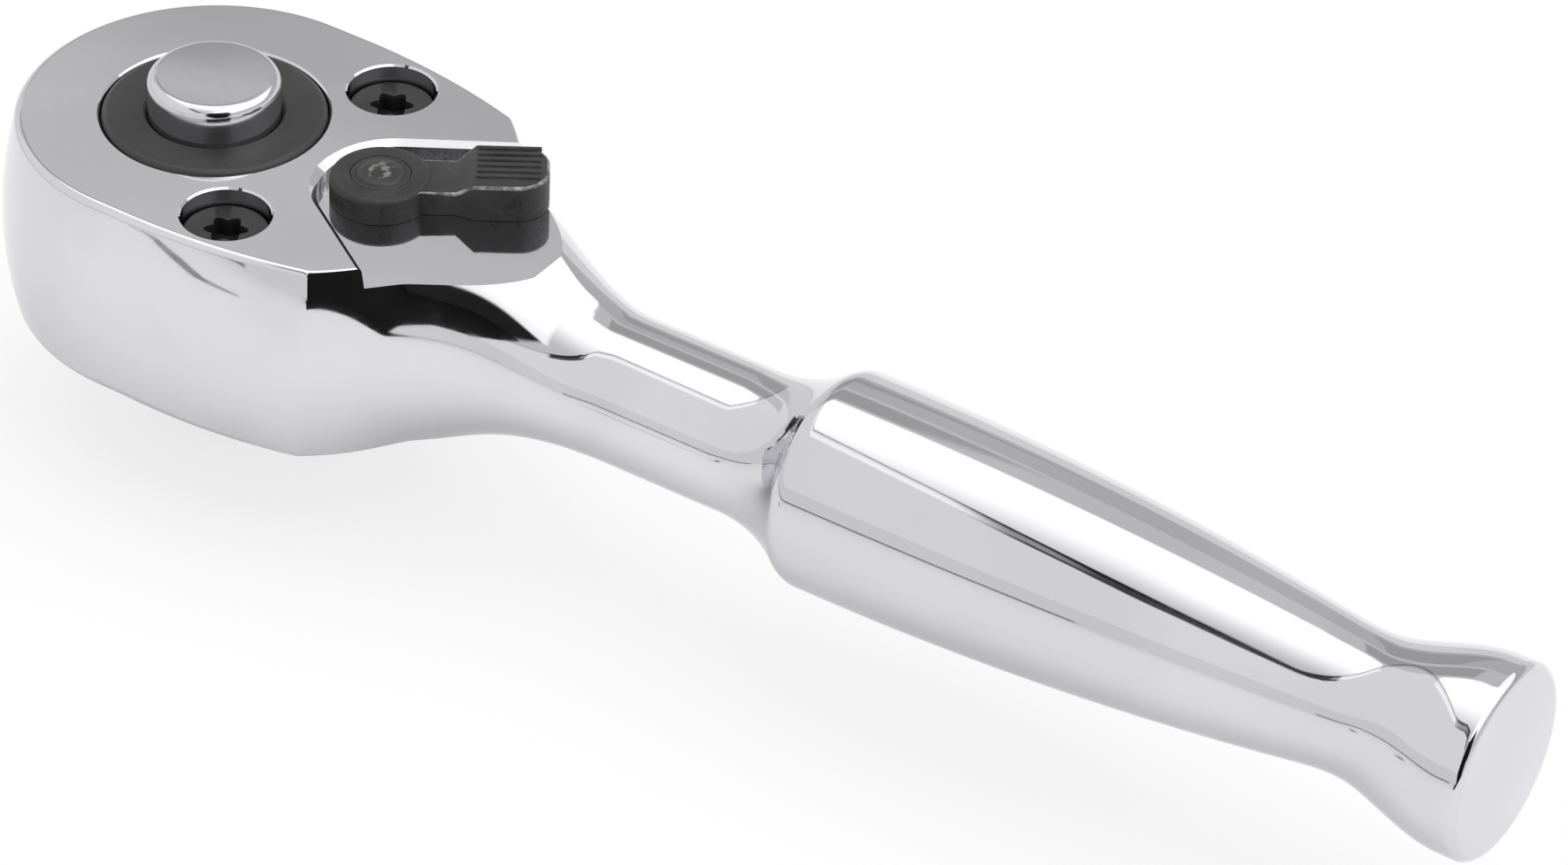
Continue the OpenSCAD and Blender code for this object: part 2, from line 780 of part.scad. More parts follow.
module pawl() {
  height = gear_roof_z - gear_floor_z - 2 * end_fit;
  color(steel)
    translate([0, 0, gear_floor_z + end_fit])
      difference() {
        union() {
          at_pivot()
            cylinder(h = height, r = hub_r);
          linear_extrude(height)
            pawl_arm_plan();
          at_pivot(2 * pawl_rock)
            mirror([0, 1, 0])
              translate([-pivot_x, 0, 0])
                linear_extrude(height)
                  pawl_arm_plan();
        }
        translate([pivot_x, 0, -through])
          cylinder(h = height + 2 * through, r = cam_r + run_fit);
        // Track in which the plunger swings from stop to stop
        at_pivot(toward_drive + pawl_rock)
          translate([0, 0, -through])
            linear_extrude(height + 2 * through)
              intersection() {
                circle(track_r);
                polygon([
                  [0, 0], polar(2 * track_r, track_half), [2 * track_r, 0], polar(2 * track_r, -track_half)
                ]);
              }
      }
}

module selector_spindle() {
  cam_floor_z = gear_floor_z;
  groove_z = (roof_z + pocket_z) / 2;
  end_z = boss_z - dish_depth;
  color(steel)
    at_pivot(lever_throw)
      difference() {
        union() {
          translate([0, 0, plate_top_z - foot_depth])
            cylinder(h = foot_depth + end_fit + lap, r = foot_r);
          translate([0, 0, cam_floor_z])
            cylinder(h = gear_roof_z - cam_floor_z, r = cam_r);
          translate([0, 0, gear_roof_z - lap])
            cylinder(h = end_z - gear_roof_z + lap, r = spindle_r - seat_fit);
        }
        // Groove of the seal
        translate([0, 0, groove_z])
          rotate_extrude()
            translate([spindle_r - seal_wire_r, 0])
              circle(seal_wire_r + seat_fit, $fn = 48);
        // Well of the plunger
        translate([-plunger_well_r, 0, plunger_z])
          rotate([0, -90, 0])
            cylinder(h = 2 * cam_r, r = plunger_r + run_fit);
        // Dish left by the staking punch
        translate([0, 0, end_z])
          cylinder(h = 2 * dish_depth, r1 = 0, r2 = spindle_r, center = true);
      }
}

module spindle_seal() {
  groove_z = (roof_z + pocket_z) / 2;
  color(dark_rubber)
    at_pivot()
      translate([0, 0, groove_z])
        rotate_extrude()
          translate([spindle_r - seal_wire_r, 0])
            circle(seal_wire_r, $fn = 48);
}

module pawl_plunger() {
  shank_l = plunger_l - plunger_r;
  color(steel)
    at_pivot(plunger_angle)
      translate([plunger_back_r, 0, plunger_z])
        rotate([0, 90, 0]) {
          cylinder(h = shank_l, r = plunger_r);
          translate([0, 0, shank_l])
            sphere(plunger_r);
        }
}

module plunger_spring() {
  color(steel)
    at_pivot(plunger_angle)
      translate([plunger_well_r, 0, plunger_z])
        rotate([0, 90, 0])
          coil(plunger_coil_r, plunger_wire_r, plunger_back_r - plunger_well_r, plunger_turns);
}

module lever_plan() {
  round_x = pad_end_x - pad_w;
  circle(boss_r);
  polygon([
    [0, -arm_w], [rise_x, -arm_w], [pad_x, -pad_w], [round_x, -pad_w],
    [round_x, pad_w], [pad_x, pad_w], [rise_x, arm_w], [0, arm_w]
  ]);
  translate([round_x, 0])
    circle(pad_w);
}

module lever_side() {
  polygon([
    [-2 * boss_r, lever_z], [2 * pad_end_x, lever_z], [2 * pad_end_x, top_z + pad_h],
    [pad_x, top_z + pad_h], [rise_x, top_z + arm_h], [boss_r, top_z + arm_h],
    [boss_r, boss_z], [-2 * boss_r, boss_z]
  ]);
}

module reverse_lever() {
  rib_pitch = 2 * pad_w / (rib_count + 0.5);
  groove_r = rib_pitch / 3;
  color(blacked)
    at_pivot(lever_throw)
      difference() {
        intersection() {
          translate([0, 0, lever_z])
            linear_extrude(pad_h + head_h)
              lever_plan();
          rotate([90, 0, 0])
            linear_extrude(4 * boss_r, center = true)
              lever_side();
        }
        translate([0, 0, lever_z - through])
          cylinder(h = head_h, r = spindle_r);
        // Grooves between the ribs of the thumb pad
        for (i = [1 : rib_count - 1])
          translate([rise_x, (i - rib_count / 2) * rib_pitch, top_z + pad_h + groove_r - rib_depth])
            rotate([0, 90, 0])
              cylinder(h = pad_end_x, r = groove_r, $fn = 24);
      }
}

body();
cover_plate();
cover_screws();
drive_gear();
release_button();
release_spring();
detent_ball();
pawl();
selector_spindle();
reverse_lever();
spindle_seal();
pawl_plunger();
plunger_spring();
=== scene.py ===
import json
import math

import bmesh
import bpy
import numpy as np
from mathutils import Matrix, Vector


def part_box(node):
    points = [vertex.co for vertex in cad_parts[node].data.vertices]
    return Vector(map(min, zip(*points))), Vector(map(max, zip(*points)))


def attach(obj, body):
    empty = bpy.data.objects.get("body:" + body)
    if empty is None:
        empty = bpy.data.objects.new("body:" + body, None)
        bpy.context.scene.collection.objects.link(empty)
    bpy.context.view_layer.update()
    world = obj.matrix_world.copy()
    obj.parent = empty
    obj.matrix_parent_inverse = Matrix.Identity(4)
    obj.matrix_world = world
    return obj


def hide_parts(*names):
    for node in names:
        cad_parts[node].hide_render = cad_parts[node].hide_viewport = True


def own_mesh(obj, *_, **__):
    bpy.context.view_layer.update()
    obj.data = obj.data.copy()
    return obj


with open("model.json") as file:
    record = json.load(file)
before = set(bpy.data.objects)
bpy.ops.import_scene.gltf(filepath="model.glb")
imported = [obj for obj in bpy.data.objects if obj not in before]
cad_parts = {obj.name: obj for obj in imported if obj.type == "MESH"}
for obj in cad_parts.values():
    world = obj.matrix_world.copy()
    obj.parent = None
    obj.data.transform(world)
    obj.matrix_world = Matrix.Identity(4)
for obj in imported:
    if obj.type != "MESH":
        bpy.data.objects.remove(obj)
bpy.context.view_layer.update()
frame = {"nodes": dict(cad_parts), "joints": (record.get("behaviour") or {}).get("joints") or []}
mm = 0.001
scene = bpy.context.scene

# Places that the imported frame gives, in millimetres
joints = {joint["name"]: joint for joint in frame["joints"]}
pivotX = joints["lever_throw"]["pos_m"][0] / mm
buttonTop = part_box("release_button")[1].z / mm
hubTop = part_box("drive_gear")[1].z / mm
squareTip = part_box("drive_gear")[0].z / mm
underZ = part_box("cover_plate")[0].z / mm
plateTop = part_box("cover_plate")[1].z / mm
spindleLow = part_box("selector_spindle")[0].z / mm
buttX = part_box("body")[1].x / mm
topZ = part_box("body")[1].z / mm
print("frame loaded")


# Shader maths
class Shade:
    def __init__(self, tree, socket=None):
        self.tree = tree
        self.socket = socket

    def make(self, kind, inputs=None, output=0, **settings):
        node = self.tree.nodes.new(kind)
        for key, value in settings.items():
            setattr(node, key, value)
        for key, value in (inputs or {}).items():
            if isinstance(value, Shade):
                self.tree.links.new(value.socket, node.inputs[key])
            else:
                node.inputs[key].default_value = value
        return Shade(self.tree, node.outputs[output] if node.outputs else None)

    def maths(self, operation, *others):
        inputs = dict(enumerate((self,) + others))
        return self.make("ShaderNodeMath", inputs, operation=operation)

    def __add__(self, other):
        return self.maths("ADD", other)

    def __sub__(self, other):
        return self.maths("SUBTRACT", other)

    def __mul__(self, other):
        return self.maths("MULTIPLY", other)

    def __truediv__(self, other):
        return self.maths("DIVIDE", other)

    def power(self, other):
        return self.maths("POWER", other)

    def largest(self, other):
        return self.maths("MAXIMUM", other)

    def step(self, low, high, fromValue=0.0, toValue=1.0):
        inputs = {"Value": self, "From Min": low, "From Max": high, "To Min": fromValue, "To Max": toValue}
        return self.make("ShaderNodeMapRange", inputs, interpolation_type="SMOOTHSTEP")

    def band(self, low, high, soft):
        return self.step(low - soft, low + soft) * self.step(high - soft, high + soft, 1.0, 0.0)

    def colours(self, first, second):
        inputs = {0: self}
        for key, value in ((6, first), (7, second)):
            inputs[key] = value if isinstance(value, Shade) else (*value, 1.0)
        return self.make("ShaderNodeMix", inputs, output=2, data_type="RGBA")

    def part(self, index):
        node = self.make("ShaderNodeSeparateXYZ", {0: self}).socket.node
        return Shade(self.tree, node.outputs[index])


def newMaterial(name):
    material = bpy.data.materials.new(name)
    material.use_nodes = True
    shader = material.node_tree.nodes["Principled BSDF"]
    return material, Shade(material.node_tree), shader


def objectPoint(root):
    return root.make("ShaderNodeTexCoord", output="Object")


def noise(root, point, scale, detail=3.0, roughness=0.5):
    inputs = {"Vector": point, "Scale": scale, "Detail": detail, "Roughness": roughness}
    return root.make("ShaderNodeTexNoise", inputs)


def feed(root, shader, **values):
    names = {"colour": "Base Color", "roughness": "Roughness", "metallic": "Metallic", "normal": "Normal"}
    for key, value in values.items():
        socket = shader.inputs[names[key]]
        if isinstance(value, Shade):
            root.tree.links.new(value.socket, socket)
        else:
            socket.default_value = value


def bump(root, height, strength, distance):
    inputs = {"Height": height, "Strength": strength, "Distance": distance}
    return root.make("ShaderNodeBump", inputs)


# Finishes
chromeFinish = {
    "dull": (0.644, 0.64, 0.671),
    "bright": (0.69, 0.685, 0.718),
    "roughness": (0.03, 0.075),
    "cloudScale": 70.0,
    "grainScale": 1500.0,
    "waveScale": 260.0,
    "waveDepth": 0.00001,
}


def makeChrome(name, finish, extraRoughness=0.0):
    material, root, shader = newMaterial(name)
    point = objectPoint(root)
    clouds = noise(root, point, finish["cloudScale"])
    grain = noise(root, point, finish["grainScale"], 4.0)
    waves = noise(root, point, finish["waveScale"], 1.0)
    low, high = finish["roughness"]
    feed(
        root, shader,
        colour=clouds.step(0.35, 0.65).colours(finish["dull"], finish["bright"]),
        roughness=(clouds * 0.6 + grain * 0.4).step(0.35, 0.65, low + extraRoughness, high + extraRoughness),
        metallic=1.0,
        normal=bump(root, waves, 0.3, finish["waveDepth"]),
    )
    return material


pocketFinish = {
    "dark": (0.3, 0.3, 0.31),
    "bright": (0.82, 0.82, 0.84),
    "scratchScale": 900.0,
    "pitDepth": 0.00006,
}


def makePocketWall(name, finish):
    material, root, shader = newMaterial(name)
    point = objectPoint(root)
    stretch = root.make("ShaderNodeMapping", {"Vector": point, "Scale": (1.0, 1.0, 0.35)})
    pits = noise(root, stretch, finish["scratchScale"], 5.0, 0.65)
    feed(
        root, shader,
        colour=pits.step(0.4, 0.6).colours(finish["dark"], finish["bright"]),
        roughness=pits.step(0.35, 0.65, 0.38, 0.16),
        metallic=1.0,
        normal=bump(root, pits, 0.6, finish["pitDepth"]),
    )
    return material


blackFinish = {
    "deep": (0.022, 0.0215, 0.0215),
    "pale": (0.034, 0.033, 0.033),
    "roughness": (0.34, 0.46),
    "cloudScale": 220.0,
    "grainScale": 3200.0,
    "grainDepth": 0.00001,
    # Painted shade: near-black colour for the bottom of the screw recesses, fading in over these depths below
    # the screw top
    "recess": (0.004, 0.004, 0.004),
    "recessDepth": (0.5, 0.12),
}
leverFinish = {
    "deep": (0.015, 0.0147, 0.0148),
    "pale": (0.034, 0.033, 0.033),
    "roughness": (0.4, 0.6),
    "cloudScale": 350.0,
    "grainScale": 2600.0,
    "grainDepth": 0.00006,
}
# Pale colour for the lever's bevelled upper edges: partly edge wear, partly a painted highlight
wornHighlightFinish = {
    "deep": (0.05, 0.05, 0.05),
    "pale": (0.42, 0.415, 0.41),
    "roughness": (0.3, 0.5),
    "cloudScale": 900.0,
    "grainScale": 3000.0,
    "grainDepth": 0.00004,
}


def makeBlack(name, finish, recessTop=None):
    material, root, shader = newMaterial(name)
    point = objectPoint(root)
    clouds = noise(root, point, finish["cloudScale"], 4.0)
    grain = noise(root, point, finish["grainScale"], 4.0, 0.6)
    low, high = finish["roughness"]
    colour = (clouds * 0.6 + grain * 0.4).step(0.38, 0.66).colours(finish["deep"], finish["pale"])
    roughness = grain.step(0.3, 0.7, low, high)
    # Painted shade: below the screw top the colour darkens to near black deep in the recess, and the
    # roughness rises there
    if recessTop is not None:
        deep, shallow = finish["recessDepth"]
        unshadedShare = point.part(2).step((recessTop - deep) * mm, (recessTop - shallow) * mm)
        colour = unshadedShare.colours(finish["recess"], colour)
        roughness = (unshadedShare * -1.0 + 1.0) * 0.4 + roughness
    feed(
        root, shader,
        colour=colour,
        roughness=roughness,
        normal=bump(root, grain, 0.5, finish["grainDepth"]),
    )
    return material


stakeFinish = {"markRadius": 0.00125, "markScale": 1300.0, "mark": (0.32, 0.3, 0.29)}


def makeStake(name, finish, base):
    material, root, shader = newMaterial(name)
    point = objectPoint(root)
    shifted = root.make(
        "ShaderNodeVectorMath",
        {0: point, 1: (pivotX * mm, 0.0, 0.0)},
        operation="SUBTRACT",
    )
    flat = root.make("ShaderNodeVectorMath", {0: shifted, 1: (1.0, 1.0, 0.0)}, operation="MULTIPLY")
    reach = root.make("ShaderNodeVectorMath", {0: flat}, output="Value", operation="LENGTH")
    blots = noise(root, point, finish["markScale"], 3.0, 0.6)
    mark = blots.step(0.5, 0.57) * reach.step(finish["markRadius"] * 0.6, finish["markRadius"], 1.0, 0.0)
    grain = noise(root, point, base["grainScale"], 4.0)
    feed(
        root, shader,
        colour=mark.colours(base["deep"], finish["mark"]),
        roughness=grain.step(0.3, 0.7, 0.3, 0.45),
        metallic=mark * 0.9,
        normal=bump(root, blots, 0.5, 0.00008),
    )
    return material


steelFinish = {
    "dull": (0.33, 0.33, 0.34),
    "bright": (0.46, 0.46, 0.47),
    "roughness": (0.2, 0.36),
    "cloudScale": 300.0,
    "grainScale": 2500.0,
    "waveScale": 900.0,
    "waveDepth": 0.00001,
}
rubberFinish = dict(leverFinish, roughness=(0.6, 0.8))

chrome = makeChrome("chrome", chromeFinish)
buttonChrome = makeChrome("buttonChrome", chromeFinish, 0.06)
pocketWall = makePocketWall("pocketWall", pocketFinish)
blackSteel = makeBlack("blackSteel", blackFinish)
# The screws' colour has painted shade deep in their recesses
screwBlack = makeBlack("screwBlack", blackFinish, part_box("cover_screws")[1].z / mm)
leverBlack = makeBlack("leverBlack", leverFinish)
wornEdgeHighlight = makeBlack("wornEdgeHighlight", wornHighlightFinish)
stakeMark = makeStake("stakeMark", stakeFinish, blackFinish)
bareSteel = makeChrome("bareSteel", steelFinish)
sealRubber = makeBlack("sealRubber", rubberFinish)
print("finishes made")


# Mesh building, in millimetres
def addMesh(name, vertices, faces, material=None):
    mesh = bpy.data.meshes.new(name)
    mesh.from_pydata((np.asarray(vertices, float) * mm).tolist(), [], faces)
    obj = bpy.data.objects.new(name, mesh)
    scene.collection.objects.link(obj)
    if material:
        mesh.materials.append(material)
    clean(obj)
    return obj


def clean(obj):
    work = bmesh.new()
    work.from_mesh(obj.data)
    bmesh.ops.remove_doubles(work, verts=work.verts, dist=1e-7)
    bmesh.ops.recalc_face_normals(work, faces=work.faces)
    work.to_mesh(obj.data)
    work.free()


def lathe(name, profile, material=None, centre=(0.0, 0.0), steps=160):
    profile = np.asarray(profile, float)
    turn = np.linspace(0, 2 * math.pi, steps, endpoint=False)
    vertices = [
        (centre[0] + r * math.cos(a), centre[1] + r * math.sin(a), z) for r, z in profile for a in turn
    ]
    return addMesh(name, vertices, sideFaces(len(profile), steps), material)


def rod(name, radius, low, high, material=None, centre=(0.0, 0.0), steps=160):
    return lathe(name, [(0, low), (radius, low), (radius, high), (0, high)], material, centre, steps)


def sideFaces(rows, count):
    faces = []
    for j in range(rows - 1):
        for i in range(count):
            k = (i + 1) % count
            faces.append((j * count + i, j * count + k, (j + 1) * count + k, (j + 1) * count + i))
    return faces


def stack(name, outlines, material=None):
    rows, count = len(outlines), len(outlines[0])
    last = (rows - 1) * count
    faces = [tuple(range(count - 1, -1, -1)), tuple(range(last, last + count))]
    vertices = [point for outline in outlines for point in outline]
    return addMesh(name, vertices, faces + sideFaces(rows, count), material)


def prism(name, outline, low, high, material=None):
    return stack(name, [[(x, y, z) for x, y in outline] for z in (low, high)], material)


def arc(centre, radius, start, end, steps):
    angles = np.radians(np.linspace(start, end, steps))
    return [(centre[0] + radius * math.cos(a), centre[1] + radius * math.sin(a)) for a in angles]


def edgeArc(radius, height, rounding, steps=10):
    angles = np.linspace(0, math.pi / 2, steps)
    return [
        (radius - rounding * (1 - math.cos(a)), height - rounding * (1 - math.sin(a))) for a in angles
    ]


def bake(obj):
    view = bpy.context.evaluated_depsgraph_get()
    final = obj.evaluated_get(view)
    made = bpy.data.meshes.new_from_object(final, preserve_all_data_layers=True, depsgraph=view)
    obj.modifiers.clear()
    old = obj.data
    obj.data = made
    made.name = obj.name
    bpy.data.meshes.remove(old)
    return obj


def combine(obj, operation, *tools):
    for tool in tools:
        modifier = obj.modifiers.new("combine", "BOOLEAN")
        modifier.operation = operation
        modifier.solver = "EXACT"
        modifier.material_mode = "TRANSFER"
        modifier.object = tool
        bake(obj)
        bpy.data.objects.remove(tool)
    return obj


def smooth(obj, angle=30.0):
    obj.data.shade_smooth()
    obj.data.set_sharp_from_angle(angle=math.radians(angle))
    return obj


# Level faces at these heights take no shading from the faces round them
def keepFlat(obj, *heights):
    shared = {}
    for face in obj.data.polygons:
        level = face.normal.z > 0.9999 and any(abs(face.center.z / mm - z) < 0.001 for z in heights)
        for key in face.edge_keys:
            shared.setdefault(key, []).append(level)
    for edge in obj.data.edges:
        if len(set(shared.get(edge.key, [False]))) == 2:
            edge.use_edge_sharp = True
    return obj


def ease(t):
    t = np.clip(t, 0, 1)
    return t * t * (3 - 2 * t)


def mix(a, b, t):
    return a + (b - a) * t


def rounding(depth, radius):
    short = np.clip(radius - depth, 0, radius)
    return radius - np.sqrt(np.maximum(radius ** 2 - short ** 2, 0))


def place(obj, body, slotName, *nodes):
    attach(obj, body)
    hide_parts(*nodes)
    return obj


# Body: one skin from the round front over the ridge and neck to the butt
bodyForm = {
    "headRadius": 14.65,
    "flank": 2.5,
    "ridge": 17.8,
    "ridgeHalf": 12.45,
    "ridgeLean": 1.3,
    "ridgeBow": 1.1,
    "ridgeSwell": 1.6,
    "swell": 1.2,
    "topEdge": 0.5,
    "bottomEdge": 1.7,
    "ridgeEdge": 0.3,
    "neck": 38.0,
    "neckRadius": 5.5,
    "slopeStart": 25.5,
    "slopeEnd": 36.5,
    "cornerStart": 28.5,
    "cornerRun": 10.0,
    "neckSlope": 0.8,
    "neckRound": 12.0,
    "ridgeRound": 11.4,
    "ridgeReach": 5.5,
    "axisDrop": 9.2,
    "shoulder": 47.9,
    "shoulderTurn": 38.0,
    "shoulderEdge": 2.2,
    "grip": 57.0,
    "gripRadius": 8.25,
    "waist": 98.0,
    "waistRadius": 5.2,
    "waistBlend": (3.0, 2.5),
    "flare": 108.0,
    "buttRadius": 7.35,
    "buttEdge": 0.8,
}
bodyHoles = {
    "ringRadius": 8.5,
    "rimBevel": 0.14,
    "chamberRadius": 10.5,
    "roof": 4.4,
    "plateFit": 0.03,
    "screwBore": 3.3,
    "screwDepth": 3.55,
    "shankHole": 1.8,
    "pocketDepth": 1.4,
    "pocketRadius": 6.15,
    "pocketBack": 1.8,
    "pocketFlare": 33.0,
    "pocketTurn": (0.0, 0.25, 0.6, 0.8, 1.0),
    "pocketBevel": (0.4, 0.5, 0.62, 0.5, 0.34),
    "pocketDrop": (0.45, 0.45, 0.43, 0.36, 0.26),
    "pocketReach": 20.0,
    "pocketRise": 0.4,
    "spindleHole": 2.3,
    "pawlReach": 14.42,
    "pawlHalf": 39.5,
    "pawlSeat": 5.2,
    "pawlGap": 0.2,
    "past": 1.0,
}
headHeight = topZ - underZ
midZ = (topZ + underZ) / 2
axisZ = topZ - bodyForm["axisDrop"]


def ringLevels():
    form = bodyForm
    low = underZ + form["bottomEdge"] * (1 - np.cos(np.linspace(0, math.pi / 2, 12)))
    high = topZ - form["topEdge"] * (1 - np.cos(np.linspace(math.pi / 2, 0, 14)))
    middle = np.linspace(low[-1], high[0], 26)[1:-1]
    return np.concatenate([low, middle, high])


def headHalf(x, z):
    form = bodyForm
    drop = form["headRadius"] - form["ridgeHalf"]
    run = form["ridge"] - form["flank"]
    flankRadius = (run ** 2 + drop ** 2) / (2 * drop)
    along = np.maximum(x - form["flank"], 0)
    share = 1 - np.clip(along / run, 0, 1)
    base = form["headRadius"] - flankRadius + np.sqrt(flankRadius ** 2 - along ** 2)
    swell = mix(form["ridgeSwell"], form["swell"], share) * bow(z)
    upper = rounding(topZ - z, mix(form["ridgeEdge"], form["topEdge"], share))
    lower = rounding(z - underZ, mix(form["ridgeEdge"], form["bottomEdge"], share))
    return base + swell - upper - lower


def bow(z):
    return 1 - ((z - midZ) / (headHeight / 2)) ** 2


def lean(z):
    return bodyForm["ridgeLean"] * (topZ - z) / headHeight - bodyForm["ridgeBow"] * bow(z)


def headRing(x, levels, across):
    side = headHalf(x, levels)
    flatTop = across * headHalf(x, topZ)
    flatUnder = across * headHalf(x, underZ)
    y = np.concatenate([side, flatTop, -side[::-1], -flatUnder])
    z = np.concatenate([levels, np.full(len(across), topZ), levels[::-1], np.full(len(across), underZ)])
    return np.stack([x - lean(z) * max(0, x / bodyForm["ridge"]), y, z], axis=1)


# The neck's sides are arcs that the flat top and underside cut off, until they have become a circle
def neckRing(x, levels, across):
    form = bodyForm
    reach = form["neck"] - form["ridge"]
    t = (x - form["ridge"]) / reach
    fall = ease((x - form["slopeStart"]) / (form["slopeEnd"] - form["slopeStart"]))
    turn = ease((x - form["ridge"]) / (form["slopeEnd"] - form["ridge"]))
    top = topZ - (form["axisDrop"] - form["neckRadius"]) * fall
    under = underZ + (headHeight - form["axisDrop"] - form["neckRadius"]) * turn
    rise = (top - under) / 2
    wide = form["ridgeHalf"] + form["ridgeSwell"]
    half = mix(wide, form["neckRadius"], ease(t)) - form["neckSlope"] * reach * t * (1 - t) ** 2
    early = 1 - ease((x - form["ridge"]) / form["ridgeReach"])
    side = mix(form["neckRound"], form["neckRadius"], turn) + form["ridgeRound"] * early
    edge = form["ridgeEdge"]
    cut = math.asin(min(1, (rise - edge) / (side - edge)))
    wall = rise - edge - (side - edge) * math.sin(cut)
    angle = np.linspace(0, cut, 120)
    sideY, sideZ = half - side + side * np.cos(angle), wall + side * np.sin(angle)
    angle = np.linspace(cut, math.pi / 2, 12)[1:]
    edgeY = sideY[-1] + edge * (np.cos(angle) - math.cos(cut))
    edgeZ = sideZ[-1] + edge * (np.sin(angle) - math.sin(cut))
    flatY = edgeY[-1] * np.linspace(1, 0, 120)[1:]
    sectionY = np.concatenate([sideY, edgeY, flatY])
    sectionZ = np.concatenate([sideZ, edgeZ, np.full(len(flatY), edgeZ[-1])])
    bearing = np.arctan2(sectionZ / rise, sectionY / half)
    squared = ease((x - form["cornerStart"]) / form["cornerRun"])
    corner = mix(math.atan2(1, edgeY[-1] / half), math.pi / 4, squared)
    y, z = squareRing(levels, across)
    given = np.arctan2(np.abs(z), np.abs(y))
    asked = np.interp(given, [0, math.pi / 4, math.pi / 2], [0, corner, math.pi / 2])
    y = np.sign(y) * np.interp(asked, bearing, sectionY)
    z = (top + under) / 2 + np.sign(z) * np.interp(asked, bearing, sectionZ)
    return np.stack([x - lean(z) * (1 - t) ** 2, y, z], axis=1)


def squareRing(levels, across):
    unit = (levels - midZ) / (headHeight / 2)
    one = np.ones(len(levels))
    level = np.ones(len(across))
    return np.concatenate([one, across, -one, -across]), np.concatenate([unit, level, unit[::-1], -level])


def handleRadius(x):
    form = bodyForm
    grip, waist = form["gripRadius"], form["waistRadius"]
    run = form["waist"] - form["grip"]
    flareRun = form["flare"] - form["waist"]
    spread = form["buttRadius"] - waist
    before, after = form["waistBlend"]
    near, far = form["waist"] - before, form["waist"] + after

    def bulge(x):
        return grip - (grip - waist) * ((x - form["grip"]) / run) ** 2

    def flare(x):
        return mix(waist, form["buttRadius"], ease((x - form["waist"]) / flareRun))

    turn, edge = math.radians(form["shoulderTurn"]), form["shoulderEdge"]
    hollow = (grip - form["neckRadius"]) / (1 - math.cos(turn)) - edge
    along = x - form["shoulder"]
    if along <= 0:
        return form["neckRadius"]
    if along <= hollow * math.sin(turn):
        return form["neckRadius"] + hollow - math.sqrt(hollow ** 2 - along ** 2)
    left = (hollow + edge) * math.sin(turn) - along
    if left > 0:
        return bulge(x) - edge + math.sqrt(edge ** 2 - left ** 2)
    if x <= near:
        return bulge(x)
    if x >= far:
        return flare(x)
    length = far - near
    t = (x - near) / length
    share = (far - form["waist"]) / flareRun
    startSlope = -2 * (grip - waist) * (near - form["grip"]) / run ** 2
    endSlope = 6 * share * (1 - share) * spread / flareRun
    value = (2 * t ** 3 - 3 * t * t + 1) * bulge(near) + (t ** 3 - 2 * t * t + t) * length * startSlope
    return value + (3 * t * t - 2 * t ** 3) * flare(far) + (t ** 3 - t * t) * length * endSlope


def roundRing(x, radius, levels, across):
    y, z = squareRing(levels, across)
    size = radius / np.sqrt(y ** 2 + z ** 2)
    return np.stack([np.full(len(y), x), y * size, axisZ + z * size], axis=1)


def bodySkin():
    form = bodyForm
    levels = ringLevels()
    across = np.linspace(1, -1, 27)[1:-1]
    headStations = np.linspace(0, form["ridge"], 64)
    neckStations = np.linspace(form["ridge"], form["neck"], 100)[1:]
    rimX = buttX - form["buttEdge"]
    handleStations = np.concatenate([
        np.linspace(form["neck"], form["shoulder"], 24)[1:],
        np.linspace(form["shoulder"], form["grip"], 72)[1:],
        np.linspace(form["grip"], rimX, 140)[1:],
    ])
    rings = [headRing(x, levels, across) for x in headStations]
    rings += [neckRing(x, levels, across) for x in neckStations]
    rings += [roundRing(x, handleRadius(x), levels, across) for x in handleStations]
    for a in np.linspace(0, math.pi / 2, 10)[1:]:
        x = rimX + form["buttEdge"] * math.sin(a)
        radius = form["buttRadius"] - form["buttEdge"] * (1 - math.cos(a))
        rings.append(roundRing(x, radius, levels, across))
    grid = np.array(rings)
    rows, count = grid.shape[:2]
    faces = [tuple((rows - 1) * count + i for i in range(count))] + sideFaces(rows, count)
    vertices = grid.reshape(-1, 3).tolist()
    addFront(vertices, faces, grid[0], len(levels), len(across))
    return addMesh("ratchetBody", vertices, faces, chrome)


# The front is the first ring's half turned round the drive axis
def addFront(vertices, faces, ring, sideCount, acrossCount):
    half = acrossCount // 2
    upper = ring[sideCount:sideCount + half + 1][::-1]
    lower = ring[2 * sideCount + acrossCount + half:][:half + 1]
    profile = np.concatenate([upper, ring[:sideCount][::-1], lower[::-1]])
    steps = 110
    start = len(vertices)
    for a in np.linspace(0, math.pi, steps + 1):
        for _, r, z in profile:
            vertices.append((-r * math.sin(a), r * math.cos(a), z))
    count = len(profile)
    for j in range(steps):
        for i in range(count - 1):
            first = start + j * count + i
            faces.append((first, first + 1, first + count + 1, first + count))


def plateTools(name, low, high, extra, material=None):
    form = plateForm
    tail = form["tail"] + extra
    main = form["radius"] + extra
    wide = bodyHoles["pawlReach"] + form["webWide"] + extra
    half = math.radians(bodyHoles["pawlHalf"])
    corner = (wide * math.cos(half), wide * math.sin(half))
    web = [(0, main * form["webShare"]), corner, (pivotX, tail * form["webShare"])]
    web += [(x, -y) for x, y in web[::-1]]
    tools = [
        rod(name, main, low, high, material),
        rod(name + "Tail", tail, low, high, material, (pivotX, 0)),
        prism(name + "Web", web[::-1], low, high, material),
    ]
    lobe = form["lobe"] + extra
    return tools + [rod(name + "Lobe", lobe, low, high, material, spot) for spot in screwSpots]


